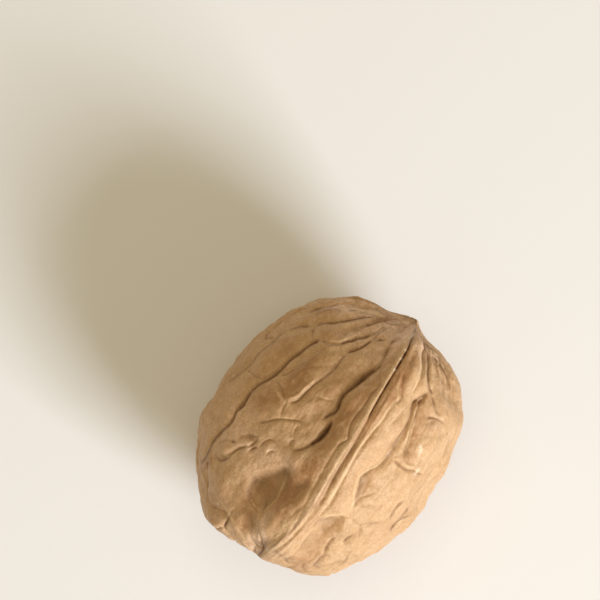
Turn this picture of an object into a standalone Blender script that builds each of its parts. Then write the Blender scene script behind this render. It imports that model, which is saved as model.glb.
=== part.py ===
"""A whole walnut in its shell, lying on its side with one suture up and its tip towards +X.

Sizes are in millimetres, and MM turns them into Blender's metres. Places on the shell are given in
plan, as seen from above: x runs along the nut to its tip, and y across it to the fuller cheek. The
shell is one solid. It starts as a sphere, takes the nut's outline, is raised along the two sutures,
and is then sunk in hollows and furrows. The origin is on the table under the middle of the nut.
"""

import math

import bmesh
import bpy
import numpy as np

MM = 0.001

# The fuller cheek's outline, the flatter cheek's, and the outline in the plane of the sutures,
# from the tip round to the base, each as (x, distance from the nut's long axis).
FULL_CHEEK = [(20.1, 0), (19.9, 4.2), (19.9, 6.6), (18.7, 9.3), (15.9, 13.4), (11.6, 16.4), (5.2, 18.6),
              (-2.4, 19.2), (-8.8, 18.2), (-13.5, 15.8), (-18.0, 12.4), (-20.8, 9.6), (-21.2, 6.4),
              (-21.2, 0)]
FLAT_CHEEK = [(20.1, 0), (18.9, 4.8), (18.8, 7.2), (17.3, 9.6), (13.2, 13.6), (8.7, 15.6), (1.0, 15.8),
              (-5.1, 15.9), (-10.4, 13.9), (-15.2, 11.7), (-18.6, 8.4), (-19.8, 5.0), (-21.2, 0)]
SUTURE_PLANE = [(20.1, 0), (19.4, 4.6), (17.3, 8.8), (13.4, 12.5), (8.2, 15.2), (2.0, 16.5),
                (-4.0, 16.5), (-9.9, 15.1), (-14.8, 12.4), (-18.6, 8.7), (-20.7, 4.5), (-21.2, 0)]
BEAK_HEIGHT = 1.45
BEAK_RADIUS = 1.7
BEAK_SPREAD_IN_SUTURE_PLANE = 1.7
BASE_SCAR_DEPTH = 0.8
BASE_SCAR_RADIUS = 2.2

# The upper suture's crest line, and the two feet of the keel on either side of it.
CREST = [(21.2, -0.1), (18, -0.75), (13, -1.3), (7, -1.7), (0, -2.05), (-9, -2.4), (-12, -2.2),
         (-16, -1.5), (-21.2, -0.2)]
KEEL_FULL_SIDE = [(21.2, 0.6), (16, 1.3), (13.2, 0.9), (12, 0.9), (11, 1.3), (9.3, 1.95),
                  (7.2, 2.65), (5.7, 2.85), (4.2, 2.55), (2.5, 2.5), (0.5, 2.0), (-0.8, 2.1),
                  (-2.4, 2.6), (-4, 3.5), (-5.2, 4.4), (-7, 3.8), (-9, 3.0), (-12.3, 2.5),
                  (-15.2, 3.1), (-16.6, 2.6), (-18.5, 0.9), (-21.2, 0.4)]
KEEL_FLAT_SIDE = [(21.2, -0.7), (19.5, -2.6), (17.3, -4.4), (15.6, -5.6), (13.8, -6.8),
                  (12.3, -6.8), (11, -6.2), (8.5, -6.7), (6.6, -7.2), (3.4, -7.4), (0.6, -7.2),
                  (-1, -6.4), (-2.5, -5.9), (-4, -6.5), (-6, -7.0), (-8.6, -7.3), (-9.8, -6.0),
                  (-10.6, -4.9), (-14, -4.5), (-18, -3.8), (-21.2, -1.4)]
KEEL_HEIGHT = 2.0
KEEL_FADE = 5.0
LOWER_CREST_OFFSET = 1.8
LOWER_KEEL_HALF_WIDTH = 4.3
LOWER_KEEL_HEIGHT = 0.85

# Steep-walled hollows of the upper side, as (depth, width of the wall, outline).
UPPER_BASINS = [
    (1.45, 1.5, [(-15.6, 3.1), (-15.3, 4.6), (-14.9, 5.7), (-14.1, 6.7), (-12.6, 7.3),
                 (-11.2, 7.2), (-10.0, 6.4), (-8.9, 5.3), (-7.8, 4.2), (-8.3, 3.0), (-9.6, 2.4),
                 (-11.6, 2.2), (-13.6, 2.5)]),
    (0.45, 0.6, [(-2.0, 2.2), (-1.2, 2.75), (0.0, 2.75), (0.9, 2.3), (0.4, 1.75), (-0.6, 1.6),
                 (-1.5, 1.8)]),
    (0.7, 1.5, [(-12.8, 1.9), (-11.2, 1.1), (-9.9, 0.1), (-8.0, -0.3), (-7.0, 0.6),
                 (-8.2, 1.7), (-9.6, 2.5), (-11.4, 2.4)]),
    (0.55, 0.9, [(-12.7, -4.9), (-10.6, -4.7), (-9.7, -5.6), (-9.0, -6.9), (-10.1, -7.4),
                 (-12.0, -7.1), (-13.2, -6.2)]),
    (0.3, 0.35, [(-4.9, 5.5), (-4.2, 6.0), (-3.5, 5.7), (-3.5, 5.1), (-4.3, 5.0)]),
    (0.3, 0.4, [(-8.2, 12.1), (-7.2, 11.9), (-6.4, 11.1), (-6.2, 10.2), (-6.9, 10.3),
                (-7.6, 11.2)]),
    (0.3, 0.6, [(13.3, -7.2), (12.4, -6.9), (11.2, -6.4), (10.8, -6.9), (12.0, -7.5)]),
]

# Soft hollows and swellings of the upper side: (x, y, half length, half width, turn in degrees,
# depth). A swelling has a depth below 0.
UPPER_HOLLOWS = [
    (-17.2, 4.1, 1.9, 1.1, 0, 0.5),
    (-16.0, 6.0, 1.6, 1.1, 10, 0.4),
    (-14.6, 1.5, 3.2, 1.0, 6, -0.5),
    (-11.6, 12.6, 0.45, 0.5, 0, 0.25),
    (-6.95, 10.75, 0.5, 0.75, 30, 0.3),
    (-12.0, 4.8, 4.4, 3.2, -12, 0.6),
    (-9.8, 1.6, 3.2, 1.5, -28, 0.3),
    (-13.5, -6.2, 4.4, 1.9, 3, 0.45),
    (-3.0, -6.9, 2.4, 0.9, 12, 0.45),
    (9.0, -9.0, 3.4, 1.2, 12, 0.35),
    (6.4, -7.6, 3.2, 0.4, 8, 0.3),
    (1.2, -7.7, 1.6, 0.7, 0, 0.25),
    (-11.2, -9.5, 1.6, 0.6, -8, 0.25),
    (-8.2, 9.2, 1.8, 1.2, -35, 0.3),
    (-5.4, 7.3, 1.6, 0.9, -35, 0.25),
    (-2.6, 6.6, 0.9, 1.2, 0, 0.2),
    (1.6, 5.2, 1.6, 1.0, 20, 0.2),
    (-18.6, 9.0, 1.8, 1.6, 0, 0.25),
    (-14.8, 8.6, 2.0, 1.0, 20, 0.2),
    (6.2, 10.1, 4.8, 0.95, -14, -0.35),
    (6.0, 8.5, 4.6, 1.2, -14, -0.4),
    (-1.4, 12.2, 2.6, 2.0, -15, -0.45),
    (-1.0, 9.9, 1.6, 0.9, 0, -0.2),
    (6.6, 14.0, 4.2, 1.3, -14, -0.35),
    (-1.4, 16.0, 2.0, 1.2, 0, -0.35),
    (-6.6, 16.4, 2.0, 1.2, 0, -0.3),
    (7.6, 4.6, 4.2, 1.3, -16, -0.3),
    (2.2, 6.2, 1.5, 1.4, 0, -0.2),
    (11.8, 11.0, 1.3, 0.8, -8, -0.3),
    (12.6, 9.0, 1.3, 1.1, -20, -0.3),
    (12.6, 7.0, 1.6, 0.8, -25, -0.2),
    (13.9, 12.0, 2.2, 0.8, -38, -0.25),
    (16.2, 9.0, 2.0, 0.6, -55, -0.25),
    (-10.4, 13.0, 1.1, 1.0, -20, -0.4),
    (9.0, 2.0, 2.2, 0.6, -18, 0.4),
    (-8.6, 12.4, 0.8, 0.8, 0, -0.15),
    (-6.6, 8.4, 1.0, 0.8, -20, -0.15),
    (-6.0, 3.8, 1.5, 1.2, 20, -0.55),
    (-14.6, 10.6, 2.6, 2.4, -30, -0.35),
    (-17.2, 1.9, 1.6, 0.5, 24, -0.2),
    (6.6, 1.6, 2.6, 0.9, -4, -0.3),
    (-1.5, -4.6, 5.5, 1.6, 2, -0.25),
    (12.6, -4.4, 3.6, 1.5, 16, -0.35),
    (-6.8, -5.4, 2.6, 1.3, -6, -0.25),
    (8.8, -7.35, 3.2, 0.25, 15, -0.25),
    (4.4, -10.3, 1.9, 0.8, -8, -0.3),
    (6.6, -12.0, 3.2, 1.2, 8, -0.25),
    (-2.8, -10.2, 2.0, 1.6, 0, -0.3),
    (-9.6, -12.2, 2.6, 1.6, -10, -0.3),
    (-16.2, -8.8, 1.4, 1.0, 0, -0.2),
    (12.2, -10.6, 1.8, 1.5, 30, -0.3),
]

# The same for the underside, which has its own keel between two pairs of hollows.
LOWER_BASINS = [
    (1.1, 1.4, [(-14.6, 8.6), (-13.6, 10.2), (-11.4, 10.4), (-9.0, 9.4), (-8.0, 7.6),
                (-9.6, 6.2), (-12.4, 6.0), (-14.2, 7.0)]),
    (1.2, 1.4, [(-15.4, -4.4), (-13.6, -3.2), (-11.0, -3.4), (-9.4, -4.8), (-10.2, -6.8),
                (-12.6, -7.6), (-14.8, -6.4)]),
    (0.6, 0.6, [(-5.8, -5.2), (-4.4, -4.6), (-3.0, -5.4), (-3.8, -6.4), (-5.4, -6.2)]),
]
LOWER_HOLLOWS = [
    (-11.4, 8.0, 4.0, 2.6, 10, 0.5),
    (-12.6, -5.2, 3.6, 2.4, -14, 0.5),
    (6.4, 8.2, 3.2, 0.9, -16, 0.4),
    (9.4, -5.6, 3.4, 0.8, 14, 0.4),
    (-16.8, 1.8, 1.2, 1.0, 0, 0.35),
    (3.5, -11.2, 3.6, 2.0, 8, -0.3),
    (-5.5, 13.0, 3.6, 2.0, -8, -0.3),
]

# Lines on the upper side, as (depth, route). Furrows part the large cells, creases are finer, and
# veins are thin raised ridges.
UPPER_FURROWS = [
    (0.8, [(-14.3, 14.9), (-13.4, 14.65), (-12, 14.7), (-10.8, 14.95), (-9, 14.85), (-6.2, 14.4),
           (-4.8, 14.7), (-3.5, 14.4), (-2, 14.4), (0, 14.1), (2, 13.2), (3.5, 12.75),
           (6, 12.25), (8, 11.55), (9.8, 10.85), (10.9, 10.1)]),
    (1.1, [(-14.8, 14.9), (-13.9, 14.6), (-13, 14.6), (-12, 14.75), (-11, 14.95)]),
    (1.0, [(-5.2, 14.7), (-4.2, 14.6), (-3.2, 14.4), (-2, 14.4), (-0.6, 14.25)]),
    (0.6, [(12, 0.9), (11, 1.35), (10.3, 1.65), (9, 1.95), (8, 2.15), (7.2, 2.4), (6.3, 2.75),
           (5.4, 2.85), (4.5, 2.7), (3.7, 2.45), (3, 2.55), (2.3, 3), (1.7, 3.3), (0.9, 3.5)]),
    (0.25, [(15.5, 0.1), (14.5, 0.05), (13.6, 0.2), (12.8, 0.5), (12, 0.9), (11, 1.35)]),
    (0.75, [(2, 2.2), (0.9, 2), (-0.1, 2), (-1.2, 2.2), (-2.4, 2.65), (-3.2, 3)]),
    (0.3, [(-1.2, 2.2), (-2.7, 2.8), (-4, 3.4), (-4.5, 3.9), (-5, 4.45), (-5.5, 4.6)]),
    (0.45, [(9.3, 15), (10, 14.4), (10.7, 13.8), (11.2, 13.1), (11.7, 12.4)]),
    (0.5, [(11.8, 12.2), (12.2, 11.8), (13, 11.2), (13.5, 10.5), (13.75, 10.15), (14.25, 9.6),
           (15, 8.8)]),
    (0.75, [(14.1, 9.75), (14.25, 9.6), (15, 8.8), (15.7, 8.1), (16.5, 7.3), (17.2, 6.6),
            (17.7, 5.9), (18.1, 5.2)]),
    (0.4, [(17.7, 5.9), (18.1, 5.2), (18.25, 4.2), (18.4, 3), (18.8, 2.25), (19.25, 1.7),
           (19.9, 1.1)]),
    (0.25, [(-21.1, 0.1), (-20, 0.05), (-19.3, 0.05), (-18.6, 0.2), (-18.1, 0.8)]),
    (0.4, [(13.2, -7.1), (12.6, -7), (11.9, -6.6), (10.8, -6.2), (8.8, -6.8), (6.9, -7.05),
           (4.7, -7.2), (3.8, -7.3), (3.1, -8.2)]),
    (0.3, [(5, -7.2), (3.5, -7.5), (1, -7.4), (0.3, -7.2), (-1, -6.4), (-1.8, -6.3),
           (-2.5, -5.9), (-3, -6.2), (-4, -6.6), (-6, -7)]),
    (0.45, [(12.4, -7.1), (11, -6.9), (9.1, -7.6), (7.4, -8), (5.8, -8.6), (4.4, -9), (3, -9.35)]),
    (0.7, [(18.1, -4.4), (17.8, -5.3), (17.6, -6.2), (17.2, -7.2), (16.6, -8.2), (16, -9),
           (15.3, -9.8)]),
]
UPPER_CREASES = [
    (0.35, [(11, -1.4), (7, -1.55), (4.5, -1.75), (0.8, -2.05), (-4, -2.25), (-9, -2.7)]),
    (0.3, [(12.5, 0.5), (11.2, 0.3), (10, -0.25), (9.3, -0.7), (8.3, -0.45), (5.5, -0.4),
           (3.2, -0.3), (1.8, -0.55), (0.8, -1.1), (-0.3, -0.6), (-1.5, -0.5)]),
    (0.28, [(12.8, -1.9), (12, -2.5), (11, -3), (9.4, -3.95), (8.5, -3.6), (7.8, -3.45),
            (5.8, -3.5), (3.2, -3.2), (0, -3.1), (-3, -3.4), (-5, -3.55), (-8, -3.8),
            (-10.2, -3.6), (-12, -3.2), (-13.5, -3.3), (-15, -2.85), (-16.5, -2.6),
            (-18.5, -2.1), (-20.8, -1.2)]),
    (0.35, [(10.5, 10.3), (10.75, 9.7), (10.7, 9), (11.1, 8.3), (11.4, 7.8), (11.75, 7.4),
            (12.7, 6.8)]),
    (0.5, [(11.4, 7.8), (11.75, 7.4), (12.7, 6.8), (13.3, 6.25), (14, 5.9), (14.5, 5.3),
           (15.2, 4.7), (15.8, 4.25)]),
    (0.35, [(15.2, 4.7), (15.8, 4.25), (16.5, 3.9), (17.3, 3.7), (18.2, 3.3)]),
    (0.25, [(1.9, 13.5), (1.3, 14.2), (1, 14.9), (1, 15.5), (1.1, 16.2), (0.8, 16.7)]),
    (0.35, [(-2.4, 18.15), (-1.5, 17.85), (-0.5, 17.5), (1.3, 16.9), (2.5, 16.65), (3.8, 16.7),
            (5, 16.4), (6, 16), (7, 15.7), (8, 15.6), (9.3, 15)]),
    (0.25, [(10.2, 10.9), (10.5, 11.5), (11, 11.8), (11.9, 12)]),
    (0.25, [(3.3, 12.5), (3.5, 11.7), (4.6, 11.1), (6.5, 10.2), (8.5, 9.5), (10.7, 8.9)]),
    (0.35, [(0.5, 8.9), (1, 8.2), (3, 7.6), (5, 7.1), (6.5, 6.5), (8, 6.1), (10.5, 5.95),
            (11.3, 5.8)]),
    (0.6, [(11, 5.9), (11.25, 5.85), (12.3, 5.1), (13.2, 4.5), (14.3, 4.1), (15.2, 3.7)]),
    (0.35, [(14.3, 4.1), (15.2, 3.75), (16.2, 3.65), (17, 3.4), (17.8, 2.9), (18.5, 2.5)]),
    (0.5, [(10.55, 5.7), (10.55, 6.1), (10.6, 6.7)]),
    (0.5, [(15.1, 3.8), (15.3, 3.3), (15.7, 2.8), (16, 2.1)]),
    (0.25, [(15.6, 1.7), (16.5, 1.1), (17.4, 0.55)]),
    (0.4, [(13.3, 13.9), (14, 13.3), (15, 12.4), (16, 11.5), (17, 10.6), (17.9, 9.7),
           (18.7, 8.6)]),
    (0.3, [(12.8, 12.9), (14, 12.6), (15, 11.9), (15.7, 11.1), (16.4, 10.2)]),
    (0.55, [(16.6, 9.5), (16.8, 9), (17.25, 8.4), (17.5, 7.8)]),
    (0.3, [(17.25, 8.4), (17.6, 7.2), (18, 6.2), (18.4, 5), (18.7, 3.8), (19, 2.8), (19.8, 1.6)]),
    (0.65, [(17.5, 9.5), (17.9, 8.8), (18.4, 7.8), (18.75, 7), (19, 6), (19.15, 4.9)]),
    (0.35, [(19, 6), (19.15, 4.9), (19.1, 4), (19.4, 2.9), (20.1, 1.7)]),
    (0.4, [(18.5, 9.3), (19.1, 8.4), (19.4, 7.2), (19.6, 5.8), (19.45, 4.5), (19.5, 3.6),
           (20.1, 2.4)]),
    (0.45, [(15.5, 10.8), (15.75, 10.5), (16.2, 10.1)]),
    (0.3, [(-4.4, 11), (-4, 10.4), (-3.5, 9.9), (-3, 9.4), (-2.2, 8.6), (-1.6, 7.6),
           (-1.2, 6.9), (-0.75, 5.8), (-0.85, 5.2)]),
    (0.35, [(-7.6, 7.4), (-7, 7.2), (-6.2, 6.3)]),
    (0.5, [(-8.3, 10.5), (-7.8, 10.1), (-7, 9.8), (-6.5, 9.8), (-6.2, 10.3)]),
    (0.25, [(-8.1, 12.1), (-7.2, 11.7), (-6.5, 11.1), (-6.2, 10.3)]),
    (0.45, [(-8.9, 9.9), (-8.3, 9.7), (-7.7, 9.4), (-7.4, 8.8)]),
    (0.3, [(-7.4, 8.9), (-6.2, 8.6), (-5.4, 8.1), (-5.3, 7.3)]),
    (0.4, [(-11.7, 13.8), (-12.1, 13.2), (-12.1, 12.4), (-11.6, 11.9), (-10.4, 11.7),
           (-9.1, 11.1), (-8.3, 10.5), (-7.8, 10.1)]),
    (0.25, [(-11.2, 14), (-10.2, 14.1), (-9.3, 13.6), (-9, 13.1), (-9, 12.6)]),
    (0.5, [(-9, 13), (-8.8, 12.6), (-8.5, 11.7)]),
    (0.3, [(-15.3, 3.6), (-15.1, 4.5), (-14.6, 5.9), (-13.3, 6.8), (-11.8, 7), (-11.3, 8.2)]),
    (0.45, [(13, -8), (13.2, -7.75), (14, -6.8), (14.8, -6.1), (15.7, -5.5), (16.7, -4.9),
            (17.3, -4.4), (18, -3.75), (18.3, -3.2), (19.2, -2)]),
    (0.28, [(10.5, -4.95), (11.7, -4.95), (13.2, -4.8), (14.5, -4.4), (16, -3.75), (16.8, -3.1),
            (17.3, -2.4), (17.9, -1.7)]),
    (0.5, [(19.2, -2.5), (18.8, -3.3), (18.75, -4), (19, -4.8), (19, -5.7), (18.7, -6.8),
           (18.3, -7.9), (17.6, -8.9), (16.7, -9.9)]),
    (0.35, [(18.6, -3.1), (18.4, -4.2), (18.3, -5.6), (18, -6.9), (17.4, -8.1), (16.7, -9.1)]),
    (0.3, [(18.2, -3.4), (17.9, -4), (17.2, -5.7), (16.3, -6.8), (15.7, -8.3), (15, -9.4)]),
    (0.25, [(-7, -7.6), (-5.8, -7.3), (-5.2, -7.5), (-4.5, -7.9), (-3.5, -8.5), (-2.7, -8.6)]),
    (0.3, [(-6.4, -7.6), (-5.8, -8.5), (-5.3, -9.4), (-5.1, -10.4)]),
    (0.4, [(-18, -7.6), (-16.5, -7.55), (-15.5, -7.75), (-15, -8.1), (-14.9, -9)]),
    (0.3, [(-17.2, -7.5), (-17.4, -9)]),
    (0.4, [(-15.2, -7.8), (-14, -7.6), (-12.8, -7.55), (-11.8, -7.7)]),
    (0.35, [(-12.3, -9.4), (-11.5, -9.2), (-10.9, -9.3), (-10.3, -9.6), (-9.7, -10.1),
            (-8.4, -9.9), (-8, -10.3), (-7, -11.4), (-6.7, -12)]),
    (0.25, [(-8.3, -10.2), (-8.5, -9), (-8.2, -7.8)]),
    (0.4, [(-15.5, -10.3), (-14.6, -10.9), (-13.4, -10.9), (-12.8, -10.8)]),
    (0.55, [(-7.4, -14.1), (-5.6, -13.95), (-4.7, -14.25), (-4, -14.7), (-3.1, -15.4)]),
    (0.4, [(-5.4, -14), (-4, -14.2), (-2, -14.35)]),
    (0.45, [(-5.6, -12.9), (-4.2, -12.8), (-3, -12.9), (-1.8, -13.25)]),
    (0.5, [(2.2, -8.2), (2, -9), (1.85, -10), (1.95, -10.9), (2.4, -11.7), (2.4, -12.4), (2.7, -13.4)]),
    (0.35, [(2.2, -11.75), (3, -11.8), (5, -11.75)]),
    (0.3, [(5, -9.2), (3.7, -9.5), (3, -10), (2.95, -10.7), (3.5, -11.4)]),
    (0.4, [(9.9, -9), (10.4, -9.8), (10.6, -10.6), (10.5, -11.6)]),
    (0.25, [(8.8, -9.9), (9.6, -9.9), (10.5, -10.2)]),
    (0.4, [(13.2, -7.6), (12.4, -8.6), (11.4, -9.7), (10.8, -10.6)]),
    (0.25, [(-5.4, -9.9), (-5, -10.6), (-4.3, -10.7), (-3.6, -10.6)]),
    (0.25, [(-12.8, -8.2), (-11.6, -8.3), (-10.6, -8.6)]),
    (0.25, [(13.4, -10.6), (14.2, -10.2), (15.2, -9.9)]),
    (0.25, [(-18.5, 0.35), (-17.6, 0.3), (-17, 0), (-16.5, -0.3)]),
]
UPPER_CRACKS = [
    (0.35, [(21, -0.35), (18, -0.75), (14, -1.2), (10, -1.4), (7, -1.55), (4.5, -1.75)]),
    (0.6, [(21, -0.35), (18, -0.75), (14, -1.2), (10, -1.4), (8.6, -1.45)]),
    (0.85, [(19, -0.6), (18.1, -0.75), (16.5, -0.88), (15, -1.12), (13.2, -1.22), (11.5, -1.35)]),
    (0.85, [(-22, 0.2), (-21, 0.1), (-20, 0), (-19.3, 0), (-18.8, 0.2), (-18.3, 0.8)]),
]
UPPER_VEINS = [
    (0.35, [(-18.8, 0.7), (-17.5, 1.8), (-16.2, 2.7), (-15, 3.1)]),
    (0.3, [(-15.8, 3), (-15.3, 3), (-14.3, 2.85), (-13.5, 2.65), (-12.1, 2.4), (-11.5, 2.55),
           (-10.3, 2.85), (-8.5, 3)]),
    (0.3, [(-20.4, 1.3), (-19.6, 3.4), (-18.6, 5.7), (-17.5, 7.8), (-17.2, 9.2), (-17.1, 10.2)]),
    (0.2, [(-6, 17.3), (-4.5, 18), (-3, 18.2)]),
    (0.2, [(1.5, 10.6), (2.3, 11.2), (3.3, 11.3), (4.2, 11)]),
    (0.2, [(11.9, 8), (12.1, 7.6), (12.8, 7.2), (13.8, 7), (14.6, 7.3)]),
    (0.25, [(0.6, 9.5), (1.6, 8.5), (3.4, 7.95), (5.4, 7.4)]),
    (0.2, [(-5.6, 11.5), (-5.8, 10.6), (-5.9, 9.9)]),
    (0.2, [(4.6, 4.9), (4.8, 4.2)]),
    (0.25, [(-10.3, -5.1), (-9.4, -6.3), (-8.8, -7.2), (-8.5, -8.2)]),
    (0.2, [(9.5, -7), (11, -6.65), (12.3, -6.95)]),
]
LOWER_FURROWS = [
    (0.7, [(17, 4.6), (13, 6.4), (8, 6.9), (3, 6.2), (-2, 6.9), (-6, 8.4)]),
    (0.7, [(17.4, -3.0), (13, -4.3), (8, -3.4), (3, -4.2), (-2, -4.4), (-7, -3.2)]),
    (0.6, [(14.6, -9.6), (10, -12.2), (5, -13.4), (-1, -13.9), (-7, -13.2), (-12, -11.2)]),
    (0.5, [(15.6, 10.4), (11, 13.2), (5, 15.3), (-2, 15.9), (-8, 14.8)]),
]

# How a line of each kind is cut, as (share of the depth, half width, power): power 2 is a round cut
# and power 1 a sharp one between rounded banks.
FURROW_SHAPE = ((0.6, 0.4, 2), (0.5, 0.9, 1))
CREASE_SHAPE = ((0.7, 0.32, 2), (0.4, 0.5, 1))
CRACK_SHAPE = ((0.8, 0.3, 2), (0.2, 0.6, 2))
VEIN_SHAPE = ((0.8, 0.35, 2), (0.2, 0.8, 2))
LINE_END = 1.1
LINE_FLOOR = 0.45
STEEPEST = 0.55

# The net of long cells that covers what the lists above leave plain.
CELL_SPACING = 3.7
CELL_STRETCH = 0.42
CELL_RING = 15.0
NET_DEPTH = 0.7
NET_SHAPE = ((0.5, 0.4, 2), (0.6, 0.9, 1))
NET_SEED = 7
NET_TOP_EDGE = (11.0, 4.5)

TIP_WRINKLE_DEPTH = 0.28
LUMP_HEIGHT = 0.2

REST_FLAT_DEPTH = 0.45
SPHERE_LEVELS = 8
TRIANGLES = 11400
SNAP = 0.01
SHELL_COLOUR = (0.46, 0.29, 0.155, 1)
SHELL_ROUGHNESS = 0.55


def smooth_step(value, start, end):
    """0 before start and 1 after end, with a soft rise between them. It also runs downwards."""
    t = np.clip((value - start) / (end - start), 0, 1)
    return t * t * (3 - 2 * t)


def smooth_curve(at, keys, values):
    """A smooth curve through the key points, read at the given places."""
    keys, values = np.asarray(keys, float), np.asarray(values, float)
    slopes = np.gradient(values, keys)
    i = np.clip(np.searchsorted(keys, at) - 1, 0, len(keys) - 2)
    span = keys[i + 1] - keys[i]
    t = np.clip((at - keys[i]) / span, 0, 1)
    rise = values[i] * (1 + 2 * t) * (1 - t) ** 2 + values[i + 1] * t * t * (3 - 2 * t)
    return rise + span * t * (1 - t) * (slopes[i] * (1 - t) - slopes[i + 1] * t)


def along_nut(x, route):
    """The y of a lengthwise line at each x."""
    points = np.array(sorted(route), float)
    return smooth_curve(x, points[:, 0], points[:, 1])


def ripple(points, wavelength, seed, waves=28):
    """Smooth seeded noise of about unit size: a sum of plane waves near one wavelength."""
    rng = np.random.default_rng(seed)
    heading = rng.normal(size=(3, waves))
    heading /= np.linalg.norm(heading, axis=0)
    pitch = 2 * math.pi / wavelength * rng.uniform(0.7, 1.4, waves)
    phase = rng.uniform(0, 2 * math.pi, waves)
    return np.cos(points @ (heading * pitch) + phase).sum(1) * math.sqrt(2 / waves)


def outline_radius(angle, outline):
    """Distance from the centre to an outline, at an angle from the tip. The ends are rounded."""
    points = np.array(outline, float)
    keys = np.arctan2(points[:, 1], points[:, 0])
    reach = np.hypot(points[:, 0], points[:, 1])
    keys = np.concatenate([[-keys[1]], keys, [2 * math.pi - keys[-2]]])
    reach = np.concatenate([[reach[1]], reach, [reach[-2]]])
    return smooth_curve(angle, keys, reach)


def body_radius(directions):
    """Distance from the centre to the smooth body, without its relief."""
    x, y, z = directions.T
    angle = np.arccos(np.clip(x, -1, 1))
    across = np.maximum(np.hypot(y, z), 1e-9)
    side, up = y / across, z / across
    cheek = np.where(y > 0, outline_radius(angle, FULL_CHEEK), outline_radius(angle, FLAT_CHEEK))
    radius = 1 / np.hypot(side / cheek, up / outline_radius(angle, SUTURE_PLANE))
    off_axis = radius * np.hypot(y, z / BEAK_SPREAD_IN_SUTURE_PLANE)
    beak = BEAK_HEIGHT * np.exp(-((off_axis / BEAK_RADIUS) ** 1.3))
    scar = BASE_SCAR_DEPTH * np.exp(-((radius * across / BASE_SCAR_RADIUS) ** 2))
    return radius + np.where(x > 0, beak, -scar)


def on_body(route, top):
    """Lifts plan points to the body's upper or lower side, so that a line sunk there shows on them.

    The height of the line's floor is found by halving its range, and the floor is then moved out to
    the body.
    """
    plan = np.array(route, float)
    low, high = np.zeros(len(plan)), np.full(len(plan), 25.0)
    sign = 1 if top else -1
    for _ in range(24):
        middle = (low + high) / 2
        points = np.column_stack([plan, sign * middle])
        reach = np.linalg.norm(points, axis=1)
        inside = reach < body_radius(points / reach[:, None]) - LINE_FLOOR
        low, high = np.where(inside, middle, low), np.where(inside, high, middle)
    floor = np.column_stack([plan, sign * low])
    return floor * (1 + LINE_FLOOR / np.linalg.norm(floor, axis=1)[:, None])


def smooth_route(route, step=0.4):
    """Points every step along a smooth curve through the route."""
    points = np.array(route, float)
    keys = np.concatenate([[0], np.cumsum(np.linalg.norm(np.diff(points, axis=0), axis=1))])
    at = np.linspace(0, keys[-1], max(3, int(keys[-1] / step) + 1))
    return np.column_stack([smooth_curve(at, keys, values) for values in points.T])


def distance_to_line(points, line):
    """Each point's distance to a line of segments, how far along it is, and the line's length."""
    starts, steps = line[:-1], np.diff(line, axis=0)
    lengths = np.linalg.norm(steps, axis=1)
    offsets = points[:, None] - starts
    share = np.clip((offsets * steps).sum(2) / lengths**2, 0, 1)
    gaps = np.linalg.norm(offsets - share[:, :, None] * steps, axis=2)
    best = gaps.argmin(1)
    rows = np.arange(len(points))
    travelled = np.concatenate([[0], np.cumsum(lengths)])
    return gaps[rows, best], travelled[best] + share[rows, best] * lengths[best], travelled[-1]


def lines(points, routes, shape, top):
    """How deep lines of one kind are at each point: a narrow cut in the floor of a valley.

    Where the shell turns away from above, a line is wider than it looks in plan.
    """
    deep = [np.zeros(len(points)) for _ in shape]
    margin = 4 / STEEPEST * max(width for _, width, _ in shape)
    for depth, route in routes:
        line = smooth_route(on_body(route, top))
        near = np.all((points > line.min(0) - margin) & (points < line.max(0) + margin), axis=1)
        gap, along, length = distance_to_line(points[near], line)
        facing = np.abs(points[near, 2]) / np.linalg.norm(points[near], axis=1)
        gap = gap * np.clip(facing, STEEPEST, 1)
        end = depth * smooth_step(np.minimum(along, length - along), -0.2, LINE_END)
        end *= 0.15 + 0.85 * smooth_step(facing, 0.2, 0.6)
        for part, (share, width, power) in zip(deep, shape):
            part[near] = np.maximum(part[near], share * end * np.exp(-((gap / width) ** power)))
    return sum(deep)


def inside_outline(x, y, outline):
    """Which points lie inside a closed outline, by the number of its sides to their right."""
    inside = np.zeros(len(x), bool)
    for (x0, y0), (x1, y1) in zip(outline, np.roll(outline, -1, axis=0)):
        beside = (y0 > y) != (y1 > y)
        inside ^= beside & (x < x0 + (y - y0) * (x1 - x0) / (y1 - y0 if y1 != y0 else 1))
    return inside


def basins(points, spots):
    """How deep the steep-walled hollows are at each point."""
    total = np.zeros(len(points))
    for depth, wall, outline in spots:
        closed = np.array(outline + outline[:1], float)
        rim = smooth_route(closed)
        near = np.all((points[:, :2] > rim.min(0) - wall) & (points[:, :2] < rim.max(0) + wall), axis=1)
        gap, _, _ = distance_to_line(points[near, :2], rim)
        gap = np.where(inside_outline(points[near, 0], points[near, 1], rim[:-1]), gap, -gap)
        total[near] += depth * smooth_step(gap, -wall / 2, wall)
    return total


def hollows(points, spots):
    """How deep the hollows are at each point, less how high the swellings are."""
    depth = np.zeros(len(points))
    for x, y, half_length, half_width, turn, deep in spots:
        c, s = math.cos(math.radians(turn)), math.sin(math.radians(turn))
        dx, dy = points[:, 0] - x, points[:, 1] - y
        spread = ((c * dx + s * dy) / half_length) ** 2 + ((c * dy - s * dx) / half_width) ** 2
        depth += deep * np.exp(-(spread**1.4))
    return depth


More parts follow.
